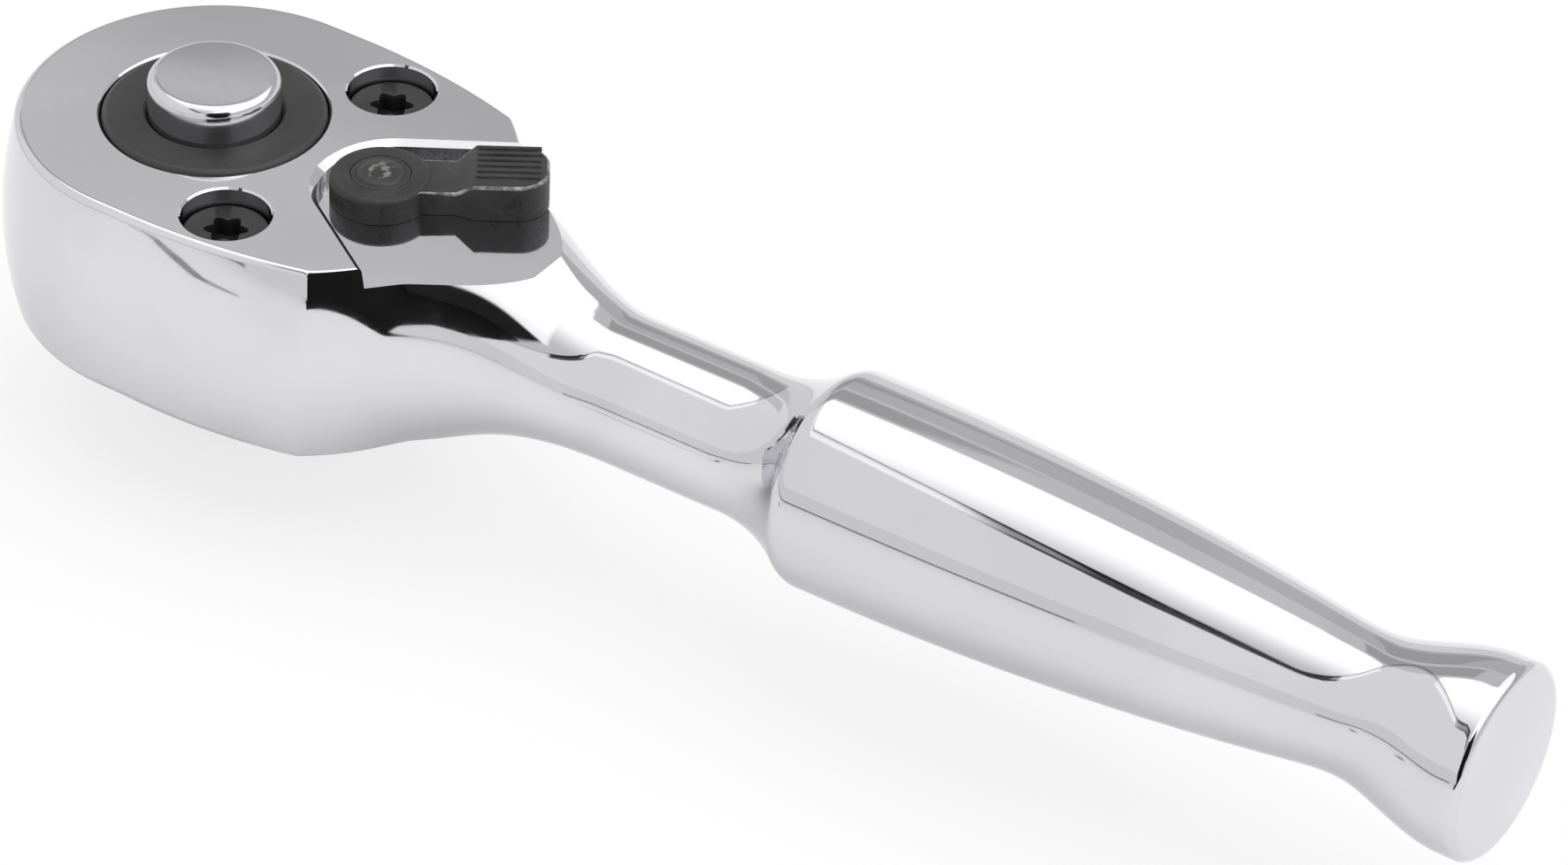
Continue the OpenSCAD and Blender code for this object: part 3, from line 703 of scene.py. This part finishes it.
plateForm = {
    "radius": 12.2,
    "tail": 6.0,
    "lobe": 3.3,
    "bore": 8.65,
    "webWide": 0.5,
    "webShare": 0.9,
    "footFit": 0.05,
    "footGap": 0.12,
}
screwForm = {
    "head": 3.2,
    "headHeight": 2.2,
    "shank": 1.75,
    "edgeShare": 0.125,
    "lobeWidth": 3.28,
    "lobeDepth": 1.4,
    "lobeMiddle": 0.43,
    "lobeSwing": 0.07,
    "turn": 32.0,
}
screwLow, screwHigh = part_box("cover_screws")
screwX = (screwLow.x + screwHigh.x) / 2 / mm
screwY = screwHigh.y / mm - screwForm["head"]
screwSpots = [(screwX, -screwY), (screwX, screwY)]
screwTop = screwHigh.z / mm


def pocketCutter():
    holes = bodyHoles
    centre = (pivotX + holes["pocketBack"], 0)
    flare, reach, rise = holes["pocketFlare"], holes["pocketReach"], holes["pocketRise"]
    floor = topZ - holes["pocketDepth"]
    dx, dy = reach * math.cos(math.radians(flare)), reach * math.sin(math.radians(flare))
    turns = np.linspace(0, 1, 60)
    angles = np.radians(mix(90 + flare, 270 - flare, turns))
    bevel = np.interp(turns, holes["pocketTurn"], holes["pocketBevel"])
    drop = np.interp(turns, holes["pocketTurn"], holes["pocketDrop"])
    wall = np.full(len(turns), holes["pocketRadius"])
    mouth = wall + bevel * (1 + rise / drop)
    levels = [
        (wall, np.full(len(turns), floor)),
        (wall, topZ - drop),
        (mouth, np.full(len(turns), topZ + rise)),
    ]
    outlines = []
    for radius, z in levels:
        x, y = centre[0] + radius * np.cos(angles), radius * np.sin(angles)
        first, last = (x[0] + dx, y[0] + dy, z[0]), (x[-1] + dx, y[-1] - dy, z[-1])
        outlines.append([first, *zip(x, y, z), last])
    cutter = stack("pocketCutter", outlines, chrome)
    cutter.data.materials.append(pocketWall)
    for face in cutter.data.polygons:
        upright = abs(face.normal.z) < 0.1
        face.material_index = 1 if upright else 0
    return cutter


def bodyCutters():
    holes = bodyHoles
    roofZ = topZ - holes["roof"]
    past, rim = holes["past"], holes["rimBevel"]
    bottom, top = underZ - past, topZ + past

    def stepped(wide, step, narrow):
        profile = [(0, bottom), (wide, bottom), (wide, step), (narrow, step), (narrow, topZ - rim)]
        return profile + [(narrow + past + rim, top), (0, top)]

    hub = stepped(holes["chamberRadius"], roofZ, holes["ringRadius"])
    screw = stepped(holes["shankHole"], topZ - holes["screwDepth"], holes["screwBore"])
    half, pivot = holes["pawlHalf"], (pivotX, 0)
    wedge = [(0, 0)] + arc((0, 0), holes["pawlReach"], -half, half, 30)
    pawlLow = underZ + holes["pawlGap"]
    return [
        lathe("hubCutter", hub, chrome),
        *[lathe("screwCutter", screw, chrome, spot) for spot in screwSpots],
        pocketCutter(),
        rod("spindleCutter", holes["spindleHole"], underZ, topZ, chrome, pivot),
        prism("pawlCutter", wedge, pawlLow, roofZ, chrome),
        rod("pawlSeatCutter", holes["pawlSeat"], pawlLow, roofZ, chrome, pivot),
        *plateTools("plateCutter", bottom, plateTop, holes["plateFit"], chrome),
    ]


ratchetBody = bodySkin()
combine(ratchetBody, "DIFFERENCE", *bodyCutters())
ratchetBody.data.validate()
keepFlat(smooth(ratchetBody, 28), topZ, topZ - bodyHoles["pocketDepth"])
place(ratchetBody, "body", "chrome", "body")
print("body made", len(ratchetBody.data.polygons))


# Cover plate
def makePlate():
    tools = plateTools("coverPlate", underZ, plateTop, 0.0, chrome)
    plate = combine(tools[0], "UNION", *tools[1:])
    low, high = underZ - bodyHoles["past"], plateTop + bodyHoles["past"]
    holes = [rod("plateBore", plateForm["bore"], low, high, chrome)]
    shank = screwForm["shank"] + bodyHoles["plateFit"]
    holes += [rod("plateScrewHole", shank, low, high, chrome, spot) for spot in screwSpots]
    foot = spindleForm["foot"] + plateForm["footFit"]
    footZ = spindleLow - plateForm["footGap"]
    holes.append(rod("plateFootHole", foot, footZ, high, chrome, (pivotX, 0)))
    combine(plate, "DIFFERENCE", *holes)
    return smooth(plate)


spindleForm = {
    "foot": 1.8,
    "cam": 2.7,
    "neck": 2.22,
    "edge": 0.14,
    "staked": (0.34, 0.42, 0.46),
    "groove": 0.05,
    "dish": -0.04,
    "dome": 0.34,
    "well": 0.9,
    "wellLength": 6.0,
    "plungerDepth": 1.62,
}
coverPlate = place(makePlate(), "body", "chrome", "cover_plate")
print("cover plate made")


# Repeats: one Geometry Nodes group puts a piece on a row of points
def repeatGroup():
    group = bpy.data.node_groups.new("repeatPiece", "GeometryNodeTree")
    make = group.interface.new_socket
    make("Geometry", in_out="OUTPUT", socket_type="NodeSocketGeometry")
    kinds = {"Geometry": "Geometry", "Count": "Int", "Start": "Vector", "Step": "Vector", "Turn": "Float"}
    for name, kind in dict(kinds, Material="Material").items():
        make(name, in_out="INPUT", socket_type="NodeSocket" + kind)
    nodes, links = group.nodes, group.links
    source = nodes.new("NodeGroupInput").outputs
    target = nodes.new("NodeGroupOutput").inputs
    line = nodes.new("GeometryNodeMeshLine")
    line.mode = "OFFSET"
    links.new(source["Count"], line.inputs["Count"])
    links.new(source["Start"], line.inputs["Start Location"])
    links.new(source["Step"], line.inputs["Offset"])
    index = nodes.new("GeometryNodeInputIndex")
    angle = nodes.new("ShaderNodeMath")
    angle.operation = "MULTIPLY"
    links.new(index.outputs[0], angle.inputs[0])
    links.new(source["Turn"], angle.inputs[1])
    rotation = nodes.new("ShaderNodeCombineXYZ")
    links.new(angle.outputs[0], rotation.inputs["Z"])
    instances = nodes.new("GeometryNodeInstanceOnPoints")
    links.new(line.outputs[0], instances.inputs["Points"])
    links.new(source["Geometry"], instances.inputs["Instance"])
    links.new(rotation.outputs[0], instances.inputs["Rotation"])
    real = nodes.new("GeometryNodeRealizeInstances")
    links.new(instances.outputs[0], real.inputs[0])
    painted = nodes.new("GeometryNodeSetMaterial")
    links.new(real.outputs[0], painted.inputs["Geometry"])
    links.new(source["Material"], painted.inputs["Material"])
    links.new(painted.outputs[0], target[0])
    return group


repeatPiece = repeatGroup()


def repeat(obj, count, start, step, turn, material):
    modifier = obj.modifiers.new("repeat", "NODES")
    modifier.node_group = repeatPiece
    values = {
        "Count": count,
        "Start": [v * mm for v in start],
        "Step": [v * mm for v in step],
        "Turn": turn,
        "Material": material,
    }
    for item in repeatPiece.interface.items_tree:
        if item.in_out == "INPUT" and item.name in values:
            modifier[item.identifier] = values[item.name]
    return bake(obj)


# Cover screws with their six-lobe recesses
def sixLobe(steps=120):
    form = screwForm
    outline = []
    for i in range(steps):
        a = 2 * math.pi * i / steps
        radius = form["lobeWidth"] * (form["lobeMiddle"] + form["lobeSwing"] * math.cos(6 * a))
        spin = a + math.radians(form["turn"])
        outline.append((radius * math.cos(spin), radius * math.sin(spin)))
    return outline


def makeScrews():
    form = screwForm
    seat = screwTop - form["headHeight"]
    edge = form["headHeight"] * form["edgeShare"]
    profile = [(0, underZ), (form["shank"], underZ), (form["shank"], seat), (form["head"], seat)]
    profile += edgeArc(form["head"], screwTop, edge)
    profile.append((0, screwTop))
    screw = lathe("coverScrews", profile, screwBlack, steps=96)
    low, high = screwTop - form["lobeDepth"], screwTop + bodyHoles["past"]
    combine(screw, "DIFFERENCE", prism("lobeCutter", sixLobe(), low, high, screwBlack))
    repeat(screw, 2, (screwX, -screwY, 0), (0, 2 * screwY, 0), 0.0, screwBlack)
    return smooth(screw)


coverScrews = place(makeScrews(), "body", "black_steel", "cover_screws")
print("screws made")


# Drive gear with its toothed band, hub, journal and square
gearForm = {
    "teeth": 72,
    "tip": 10.4,
    "depth": 0.55,
    "flat": 0.16,
    "hub": 8.4,
    "hubEdge": 0.6,
    "journal": 8.6,
    "square": 9.525,
    "corner": 6.2,
    "squareBevel": 1.1,
    "well": 5.01,
    "wellBevel": 0.25,
    "stem": 2.15,
    "springFloor": 5.0,
    "ballSeat": 1.95,
    "seatFit": 0.01,
    "endFit": 0.12,
    "tipGap": 0.5,
    "toothFoot": 0.3,
    "core": 2.0,
    "overlap": 0.5,
}
ballLow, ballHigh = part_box("detent_ball")
ballSpot = (ballLow + ballHigh) / 2 / mm
ballRadius = (ballHigh.x - ballLow.x) / 2 / mm
gearFloor = plateTop + gearForm["endFit"]
gearRoof = topZ - bodyHoles["roof"] - gearForm["endFit"]


def makeGear():
    form = gearForm
    past, core, journal = bodyHoles["past"], form["core"], form["journal"]
    root = form["tip"] - form["depth"]
    pitch = 2 * math.pi / form["teeth"]
    flat = pitch * form["flat"] / 2
    corners = [(root - form["toothFoot"], pitch / 2), (root, pitch / 2 - flat), (form["tip"], flat)]
    corners = [(r * math.cos(a), r * math.sin(a)) for r, a in corners]
    tooth = corners + [(x, -y) for x, y in corners[::-1]]
    teeth = prism("gearTeeth", tooth, gearFloor, gearRoof, blackSteel)
    repeat(teeth, form["teeth"], (0, 0, 0), (0, 0, 0), pitch, blackSteel)
    profile = [(0, squareTip + past), (core, squareTip + past), (core, 0), (journal, 0), (journal, gearFloor)]
    profile += [(root, gearFloor), (root, gearRoof), (form["hub"], gearRoof)]
    profile += edgeArc(form["hub"], hubTop, form["hubEdge"])
    profile.append((0, hubTop))
    gear = lathe("driveGear", profile, blackSteel)
    combine(gear, "UNION", makeSquare())
    well, lip, stem = form["well"], form["wellBevel"], form["stem"]
    low, high, step = squareTip - past, hubTop + past, form["springFloor"]
    bore = [(0, low), (stem, low), (stem, step), (well, step), (well, hubTop - lip)]
    bore += [(well + past + lip, high), (0, high)]
    seat = makeBall("ballSeat", form["ballSeat"], blackSteel)
    combine(gear, "DIFFERENCE", lathe("gearBore", bore, blackSteel), seat, ballChannel())
    joinPieces(gear, teeth)
    return smooth(gear)


# Room for the ball to go in when the button is pressed
def ballChannel():
    radius = gearForm["ballSeat"] - gearForm["seatFit"]
    channel = rod("ballChannel", radius, 0, -ballSpot.y, blackSteel, steps=96)
    shift = Matrix.Translation((0, 0, ballSpot.z * mm))
    channel.data.transform(shift @ Matrix.Rotation(math.radians(90), 4, "X"))
    return channel


def makeSquare():
    form = gearForm
    half, corner, edge = form["square"] / 2, form["corner"], form["squareBevel"]
    tip, top = squareTip + form["tipGap"], bodyHoles["past"]
    outline = [(half, half), (-half, half), (-half, -half), (half, -half)]
    square = prism("driveSquare", outline, tip, form["overlap"], blackSteel)
    profile = [(0, tip), (corner - edge, tip), (corner, tip + edge), (corner, top), (0, top)]
    return combine(square, "INTERSECT", lathe("squareTurning", profile, blackSteel))


def makeBall(name, radius, material):
    turn = np.linspace(0, math.pi, 49)
    profile = [(radius * math.sin(a), ballSpot.z - radius * math.cos(a)) for a in turn]
    return lathe(name, profile, material, (ballSpot.x, ballSpot.y), 96)


def joinPieces(obj, *others):
    work = bmesh.new()
    for source in (obj, *others):
        work.from_mesh(source.data)
    work.to_mesh(obj.data)
    work.free()
    for source in others:
        bpy.data.objects.remove(source)
    return obj


driveGear = place(makeGear(), "drive", "black_steel", "drive_gear")
detentBall = smooth(makeBall("detentBall", ballRadius, bareSteel))
place(detentBall, "ball", "bare_steel", "detent_ball")
print("drive made")


# Release button: rounded cap, stem, ramp and foot
buttonForm = {
    "radius": 4.96,
    "capLength": 5.8,
    "edge": 0.85,
    "stem": 2.1,
    "waist": 0.88,
    "waistLength": 2.7,
    "foot": 1.9,
    "footHeight": 0.5,
}


def makeButton():
    form = buttonForm
    foot, waist, stem = form["foot"], form["waist"], form["stem"]
    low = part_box("release_button")[0].z / mm
    waistZ = ballSpot.z + ballRadius
    neckZ = waistZ + form["waistLength"]
    capZ = buttonTop - form["capLength"]
    profile = [(0, low), (foot, low), (foot, low + form["footHeight"]), (waist, waistZ), (waist, neckZ)]
    profile += [(stem, neckZ + stem - waist), (stem, capZ), (form["radius"], capZ)]
    profile += edgeArc(form["radius"], buttonTop, form["edge"], 18)
    profile.append((0, buttonTop))
    return smooth(lathe("releaseButton", profile, buttonChrome, steps=192))


releaseButton = place(makeButton(), "button", "button_chrome", "release_button")
print("button made")


# Selector spindle and reverse lever, made along +X from the pivot and turned to the lever's rest
leverForm = {
    "boss": 3.75,
    "arm": 2.2,
    "rise": 5.5,
    "padStart": 6.9,
    "padHalf": 2.8,
    "padEnd": 12.3,
    "padCorner": 2.3,
    "bossHeight": 0.68,
    "armHeight": 0.5,
    "padHeight": 1.54,
    "floorGap": 0.03,
    "hole": 2.25,
    "rim": 0.5,
    "edge": 0.2,
    "ribs": 6,
    "ribHeight": 0.21,
    "ribPitch": 0.74,
    "ribShift": 0.45,
    "ribStart": 7.0,
    "ribEnd": 0.45,
    "ribShare": 0.34,
    "ribFoot": 0.3,
    "throw": 34.0,
    "holeClear": 0.2,
    "merge": 0.02,
    "lowEdge": 0.1,
    "sharp": 40.0,
    "trim": 9.0,
}


def turnToRest(obj):
    turn = Matrix.Translation((pivotX * mm, 0, 0)) @ Matrix.Rotation(math.radians(leverForm["throw"]), 4, "Z")
    obj.data.transform(turn)
    return obj


def makeSpindle():
    form = spindleForm
    foot, cam, neck = form["foot"], form["cam"], form["neck"]
    endZ = topZ + leverForm["bossHeight"] - form["dish"]
    grooveZ = endZ - form["groove"]
    outer, inner, domed = [neck - width for width in form["staked"]]
    profile = [(0, spindleLow), (foot, spindleLow), (foot, gearFloor), (cam, gearFloor), (cam, gearRoof)]
    profile.append((neck, gearRoof))
    profile += edgeArc(neck, endZ, form["edge"], 6) + [(outer, endZ), (inner, grooveZ)]
    for a in np.linspace(0.1, math.pi / 2, 14):
        profile.append((domed * math.cos(a), grooveZ + form["dome"] * math.sin(a)))
    spindle = lathe("selectorSpindle", profile, stakeMark, steps=128)
    plungerZ = (gearFloor + gearRoof) / 2
    well = rod("wellCutter", form["well"], 0, form["wellLength"], stakeMark, steps=48)
    shift = Matrix.Translation((form["plungerDepth"] * mm, 0, plungerZ * mm))
    well.data.transform(shift @ Matrix.Rotation(math.radians(-90), 4, "Y"))
    combine(spindle, "DIFFERENCE", well)
    return smooth(turnToRest(spindle))


def leverOutline():
    form = leverForm
    arm, pad, corner = form["arm"], form["padHalf"], form["padCorner"]
    roundX, roundY = form["padEnd"] - corner, pad - corner
    outline = [(0, arm), (0, -arm), (form["rise"], -arm), (form["padStart"], -pad)]
    outline += arc((roundX, -roundY), corner, -90, 0, 16) + arc((roundX, roundY), corner, 0, 90, 16)
    return outline + [(form["padStart"], pad), (form["rise"], arm)]


def makeLever():
    form = leverForm
    low = topZ - bodyHoles["pocketDepth"] + form["floorGap"]
    boss, padTop = form["boss"], topZ + form["padHeight"]
    armTop, bossTop = topZ + form["armHeight"], topZ + form["bossHeight"]
    far, padStart = form["trim"], form["padStart"]
    lever = prism("reverseLever", leverOutline(), low, padTop, leverBlack)
    side = [(-far, armTop), (form["rise"], armTop), (padStart, padTop)]
    side += [(padStart, topZ + far), (-far, topZ + far)]
    trim = stack("leverTrim", [[(x, y, z) for x, z in side] for y in (-far, far)], leverBlack)
    combine(lever, "DIFFERENCE", trim)
    bossProfile = [(0, low), (boss, low)] + edgeArc(boss, bossTop, form["rim"], 8) + [(0, bossTop)]
    combine(lever, "UNION", lathe("leverBoss", bossProfile, leverBlack, steps=96))
    hole = rod("leverHole", form["hole"], low - bodyHoles["past"], topZ + far, leverBlack, steps=128)
    combine(lever, "DIFFERENCE", hole)
    # The bevels take this pale colour, partly edge wear and partly a painted highlight
    lever.data.materials.append(wornEdgeHighlight)
    bevelLever(lever)
    joinPieces(lever, makeRibs())
    return smooth(turnToRest(lever), form["sharp"])


# Only the lever's upper edges that stand out are rounded, and not round the hole; the rounding is coloured
# pale, partly edge wear and partly a painted highlight
def bevelLever(lever):
    form = leverForm
    work = bmesh.new()
    work.from_mesh(lever.data)
    bmesh.ops.remove_doubles(work, verts=work.verts, dist=form["merge"] * mm)
    bmesh.ops.dissolve_limit(work, angle_limit=math.radians(0.5), verts=work.verts, edges=work.edges)
    weights = work.edges.layers.float.new("bevel_weight_edge")
    low = min(v.co.z for v in work.verts) + form["lowEdge"] * mm
    inside = (form["hole"] + form["holeClear"]) * mm
    sharp = math.radians(form["sharp"])
    for edge in work.edges:
        middle = (edge.verts[0].co + edge.verts[1].co) / 2
        outside = middle.z > low and middle.xy.length > inside
        standing = len(edge.link_faces) == 2 and edge.is_convex
        if outside and standing and edge.calc_face_angle() > sharp:
            edge[weights] = 1.0
    work.to_mesh(lever.data)
    work.free()
    modifier = lever.modifiers.new("bevel", "BEVEL")
    modifier.width = form["edge"] * mm
    modifier.segments = 3
    modifier.limit_method = "WEIGHT"
    modifier.use_clamp_overlap = False
    modifier.material = len(lever.data.materials) - 1
    return bake(lever)


def makeRibs():
    form = leverForm
    half, foot = form["ribPitch"] * form["ribShare"], form["ribFoot"]
    low = topZ + form["padHeight"] - foot
    rise = foot + form["ribHeight"]
    section = [(half * math.cos(a), low + rise * math.sin(a)) for a in np.linspace(0, math.pi, 13)]
    ends = (form["ribStart"], form["padEnd"] - form["edge"] - form["ribEnd"])
    ribs = stack("leverRibs", [[(x, y, z) for y, z in section] for x in ends], leverBlack)
    start = form["ribShift"] - form["ribPitch"] * (form["ribs"] - 1) / 2
    return repeat(ribs, form["ribs"], (0, start, 0), (0, form["ribPitch"], 0), 0.0, leverBlack)


selectorSpindle = place(makeSpindle(), "lever", "black_steel", "selector_spindle")
reverseLever = place(makeLever(), "lever", "lever_black", "reverse_lever")
print("lever made")

# Pieces shown as the frame has them
for nodeName, material in {
    "pawl": bareSteel,
    "pawl_plunger": bareSteel,
    "spindle_seal": sealRubber,
}.items():
    piece = frame["nodes"][nodeName]
    piece.data.materials.clear()
    piece.data.materials.append(material)


# Springs copied from the frame with meshes of their own; the joint's axis, the low end and the share kept are
# worked out but do not move them
springForm = {"spare": 0.05}


def makeSpring(name, nodeName, bodyName, jointName):
    spring = bpy.data.objects.new(name, frame["nodes"][nodeName].data.copy())
    scene.collection.objects.link(spring)
    spring.data.materials.clear()
    spring.data.materials.append(bareSteel)
    place(spring, bodyName, "bare_steel", nodeName)
    joint = joints[jointName]
    axis = Vector(joint["axis"]).normalized()
    reach = [vertex.co.dot(axis) for vertex in spring.data.vertices]
    length = max(reach) - min(reach)
    travel = max(abs(limit) for limit in joint["range_m"]) + springForm["spare"] * mm
    low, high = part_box(nodeName)
    middle = (low + high) / 2
    anchor = middle + axis * (min(reach) - middle.dot(axis))
    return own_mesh(spring, jointName, axis=tuple(axis), anchor=tuple(anchor), keep=1 - travel / length)


releaseSpring = makeSpring("releaseSpring", "release_spring", "drive", "button_press")
plungerSpring = makeSpring("plungerSpring", "plunger_spring", "lever", "plunger_slide")
print("springs made")


# Stage: white floor, a soft ceiling, a dark side where the camera stands, and cards that only chrome shows
stageForm = {
    "floorSize": 6.0,
    "floorColour": (0.95, 0.95, 0.955),
    "whiteShare": 0.75,
    "mirrorShare": 0.15,
    "ceilingHeight": 0.6,
    "ceilingSize": 5.0,
    "matte": 0.9,
    "worldStrength": 0.85,
}
ceilingForm = {
    "plain": 0.72,
    "panelX": (-0.5, 0.75, 0.03),
    "panelLow": (-0.465, -0.445),
    "panelHigh": (0.28, 0.32),
    "panelSlant": 1.4,
    "panelFade": (-0.46, 0.06),
    "panelGlow": (0.02, 0.95),
    "lineSlant": (-0.47, -0.452, 0.006),
    "lineDepth": 0.3,
    "stripX": (-0.5, -0.1, 0.02),
    "stripSlant": (-0.56, -0.475, 0.01),
    "stripGlow": 0.35,
    "crownX": (0.0, 0.95, 0.02),
    "crownY": (0.3, 0.85, 0.02),
    "crownGlow": 0.8,
    "frontSlant": (-0.51, -0.48),
    "frontGlow": 0.25,
    "wallX": (0.2, 0.95, 0.02),
    "wallY": (-0.54, 0.32, 0.02),
    "wallGlow": 0.6,
    "backY": (0.655, 0.72),
    "backDepth": 0.13,
    "shadeX": (-1.2, -0.22, 0.02),
    "shadeY": (0.34, 0.6, 0.02),
    "shadeDepth": 0.25,
    "sideX": (-1.5, -0.56, 0.03),
    "sideY": (0.72, 1.8, 0.02),
    "sideDepth": 0.13,
    "gapX": (-0.15, 0.16, 0.02),
    "gapY": (-0.6, -0.46, 0.01),
    "gapDepth": 0.9,
    "darkSlope": (0.46, 2.1, 0.04),
    "darkReach": (0.56, 0.62),
    "darkY": (-0.1, 0.0),
    "least": 0.02,
}
cardForm = {
    "dark": 0.015,
    "grey": 0.3,
    "clearance": 0.4,
    "side": [
        (-0.36, -0.3), (0.06, -0.3), (0.145, -0.2), (0.26, -0.08), (0.27, 0.11), (0.27, 0.3), (-0.36, 0.3),
    ],
    "sideSpot": (0.6, -0.72, 0.29),
    "sideFacing": (-0.64, 0.77, 0.0),
    "linePlace": (-0.8, -1.0),
    "lineX": (-0.63, 1.2),
    "lineHalf": 0.014,
    "mat": [(0.15, -0.18), (0.185, -0.15), (0.9, -0.48), (0.45, -0.9)],
    "streak": [
        (-0.082, -0.163, 0.003),
        (-0.068, -0.169, 0.007),
        (-0.047, -0.148, 0.01),
        (-0.027, -0.122, 0.007),
        (-0.012, -0.125, 0.003),
    ],
}


def squareCorners(size):
    half = size / 2
    return [(-half, -half), (half, -half), (half, half), (-half, half)]


def makePlane(name, corners, centre, material):
    mesh = bpy.data.meshes.new(name)
    mesh.from_pydata([(x, y, 0) for x, y in corners], [], [tuple(range(len(corners)))])
    mesh.materials.append(material)
    obj = bpy.data.objects.new(name, mesh)
    obj.location = centre
    scene.collection.objects.link(obj)
    return obj


def matteMaterial(name, colour):
    material, root, shader = newMaterial(name)
    shader.inputs["Base Color"].default_value = (*colour, 1.0)
    shader.inputs["Roughness"].default_value = stageForm["matte"]
    shader.inputs["Specular IOR Level"].default_value = 0.0
    return material, root, shader


def makeFloor():
    material, root, shader = matteMaterial("floor", stageForm["floorColour"])
    seen = root.make("ShaderNodeLightPath", output="Is Camera Ray") * stageForm["whiteShare"]
    for name in ("Is Glossy Ray", "Is Transmission Ray"):
        seen = seen.largest(root.make("ShaderNodeLightPath", output=name) * stageForm["mirrorShare"])
    white = root.make("ShaderNodeEmission", {"Color": (1.0, 1.0, 1.0, 1.0), "Strength": 1.0})
    surface = Shade(material.node_tree, shader.outputs[0])
    shown = root.make("ShaderNodeMixShader", {0: seen, 1: surface, 2: white})
    root.tree.links.new(shown.socket, root.tree.nodes["Material Output"].inputs["Surface"])
    return makePlane("floor", squareCorners(stageForm["floorSize"]), (0, 0, squareTip * mm), material)


def makeCeiling():
    form = ceilingForm
    material = bpy.data.materials.new("ceiling")
    material.use_nodes = True
    tree = material.node_tree
    tree.nodes.clear()
    root = Shade(tree)
    point = objectPoint(root)
    x, y = point.part(0), point.part(1)
    slant = x * form["panelSlant"] + y
    panel = x.band(*form["panelX"]) * slant.step(*form["panelLow"]) * y.step(*form["panelHigh"], 1.0, 0.0)
    glow = panel * y.step(*form["panelFade"], *form["panelGlow"])
    glow = glow + x.band(*form["stripX"]) * slant.band(*form["stripSlant"]) * form["stripGlow"]
    glow = glow - slant.band(*form["lineSlant"]) * form["lineDepth"]
    glow = glow + x.band(*form["crownX"]) * y.band(*form["crownY"]) * form["crownGlow"]
    glow = glow + slant.step(*form["frontSlant"], form["frontGlow"], 0.0)
    glow = glow + x.band(*form["wallX"]) * y.band(*form["wallY"]) * form["wallGlow"]
    shade = x.band(*form["shadeX"]) * y.band(*form["shadeY"]) * form["shadeDepth"]
    shade = shade + y.step(*form["backY"]) * form["backDepth"]
    shade = shade + x.band(*form["sideX"]) * y.band(*form["sideY"]) * form["sideDepth"]
    gap = x.band(*form["gapX"]) * slant.band(*form["gapY"]) * form["gapDepth"]
    reach = (x * x + y * y).power(0.5)
    dark = (x / (y * -1.0)).band(*form["darkSlope"]) * reach.step(*form["darkReach"])
    dark = dark * y.step(*form["darkY"], 1.0, 0.0)
    total = ((glow + form["plain"] - shade - gap) * (dark * -1.0 + 1.0)).largest(form["least"])
    colour = root.make("ShaderNodeCombineColor", {0: total, 1: total, 2: total})
    light = root.make("ShaderNodeEmission", {"Color": colour})
    root.make("ShaderNodeOutputMaterial", {"Surface": light})
    size = stageForm["ceilingSize"]
    ceiling = makePlane("ceiling", squareCorners(size), (0, 0, stageForm["ceilingHeight"]), material)
    ceiling.visible_camera = False
    return ceiling


def makeCard(name, corners, centre, facing, tone):
    card = makePlane(name, corners, centre, matteMaterial(name, (tone, tone, tone))[0])
    if facing is not None:
        card.rotation_euler = Vector(facing).to_track_quat("Z", "Y").to_euler()
    card.visible_camera = False
    card.visible_diffuse = False
    card.visible_shadow = False
    return card


def makeCards():
    form = cardForm
    dark, grey = form["dark"], form["grey"]
    low = (0, 0, (squareTip + form["clearance"]) * mm)
    half = form["lineHalf"]
    left, right = form["lineX"]
    line = [(left, -half), (right, -half), (right, half), (left, half)]
    streak = [(x, y - wide) for x, y, wide in form["streak"]]
    streak += [(x, y + wide) for x, y, wide in form["streak"][::-1]]
    makeCard("sideCard", form["side"], form["sideSpot"], form["sideFacing"], dark)
    makeCard("horizonLine", line, (*form["linePlace"], squareTip * mm + half), (0, 1, 0), grey)
    makeCard("matCard", form["mat"], low, None, dark)
    makeCard("streakCard", streak, low, None, grey)


makeFloor()
makeCeiling()
makeCards()

world = bpy.data.worlds.new("studio")
scene.world = world
world.use_nodes = True
background = world.node_tree.nodes["Background"]
background.inputs["Color"].default_value = (1.0, 1.0, 1.0, 1.0)
background.inputs["Strength"].default_value = stageForm["worldStrength"]
print("stage made")

# Camera, found from the photograph: place over the middle of the hub's ring, and the way that it looks
cameraForm = {
    "offset": (268.84, -342.17, 291.75),
    "azimuth": 32.516,
    "elevation": 36.403,
    "roll": 2.335,
    "lens": 162.53,
    "sensor": 36.0,
    "shift": (0.00107, 0.00192),
}


def makeCamera():
    form = cameraForm
    camera = bpy.data.objects.new("camera", bpy.data.cameras.new("camera"))
    camera.data.lens = form["lens"]
    camera.data.sensor_width = form["sensor"]
    camera.data.shift_x, camera.data.shift_y = form["shift"]
    camera.data.dof.use_dof = False
    camera.data.clip_start = 0.01
    camera.data.clip_end = 50.0
    side, up = math.radians(form["azimuth"]), math.radians(form["elevation"])
    back = Vector((math.sin(side) * math.cos(up), -math.cos(side) * math.cos(up), math.sin(up)))
    turn = (-back).to_track_quat("-Z", "Y").to_matrix().to_4x4()
    spot = Vector(form["offset"]) * mm + Vector((0, 0, topZ * mm))
    roll = Matrix.Rotation(math.radians(form["roll"]), 4, "Z")
    camera.matrix_world = Matrix.Translation(spot) @ turn @ roll
    scene.collection.objects.link(camera)
    scene.camera = camera
    return camera


camera = makeCamera()
scene.view_settings.view_transform = "Standard"

print("scene ready")
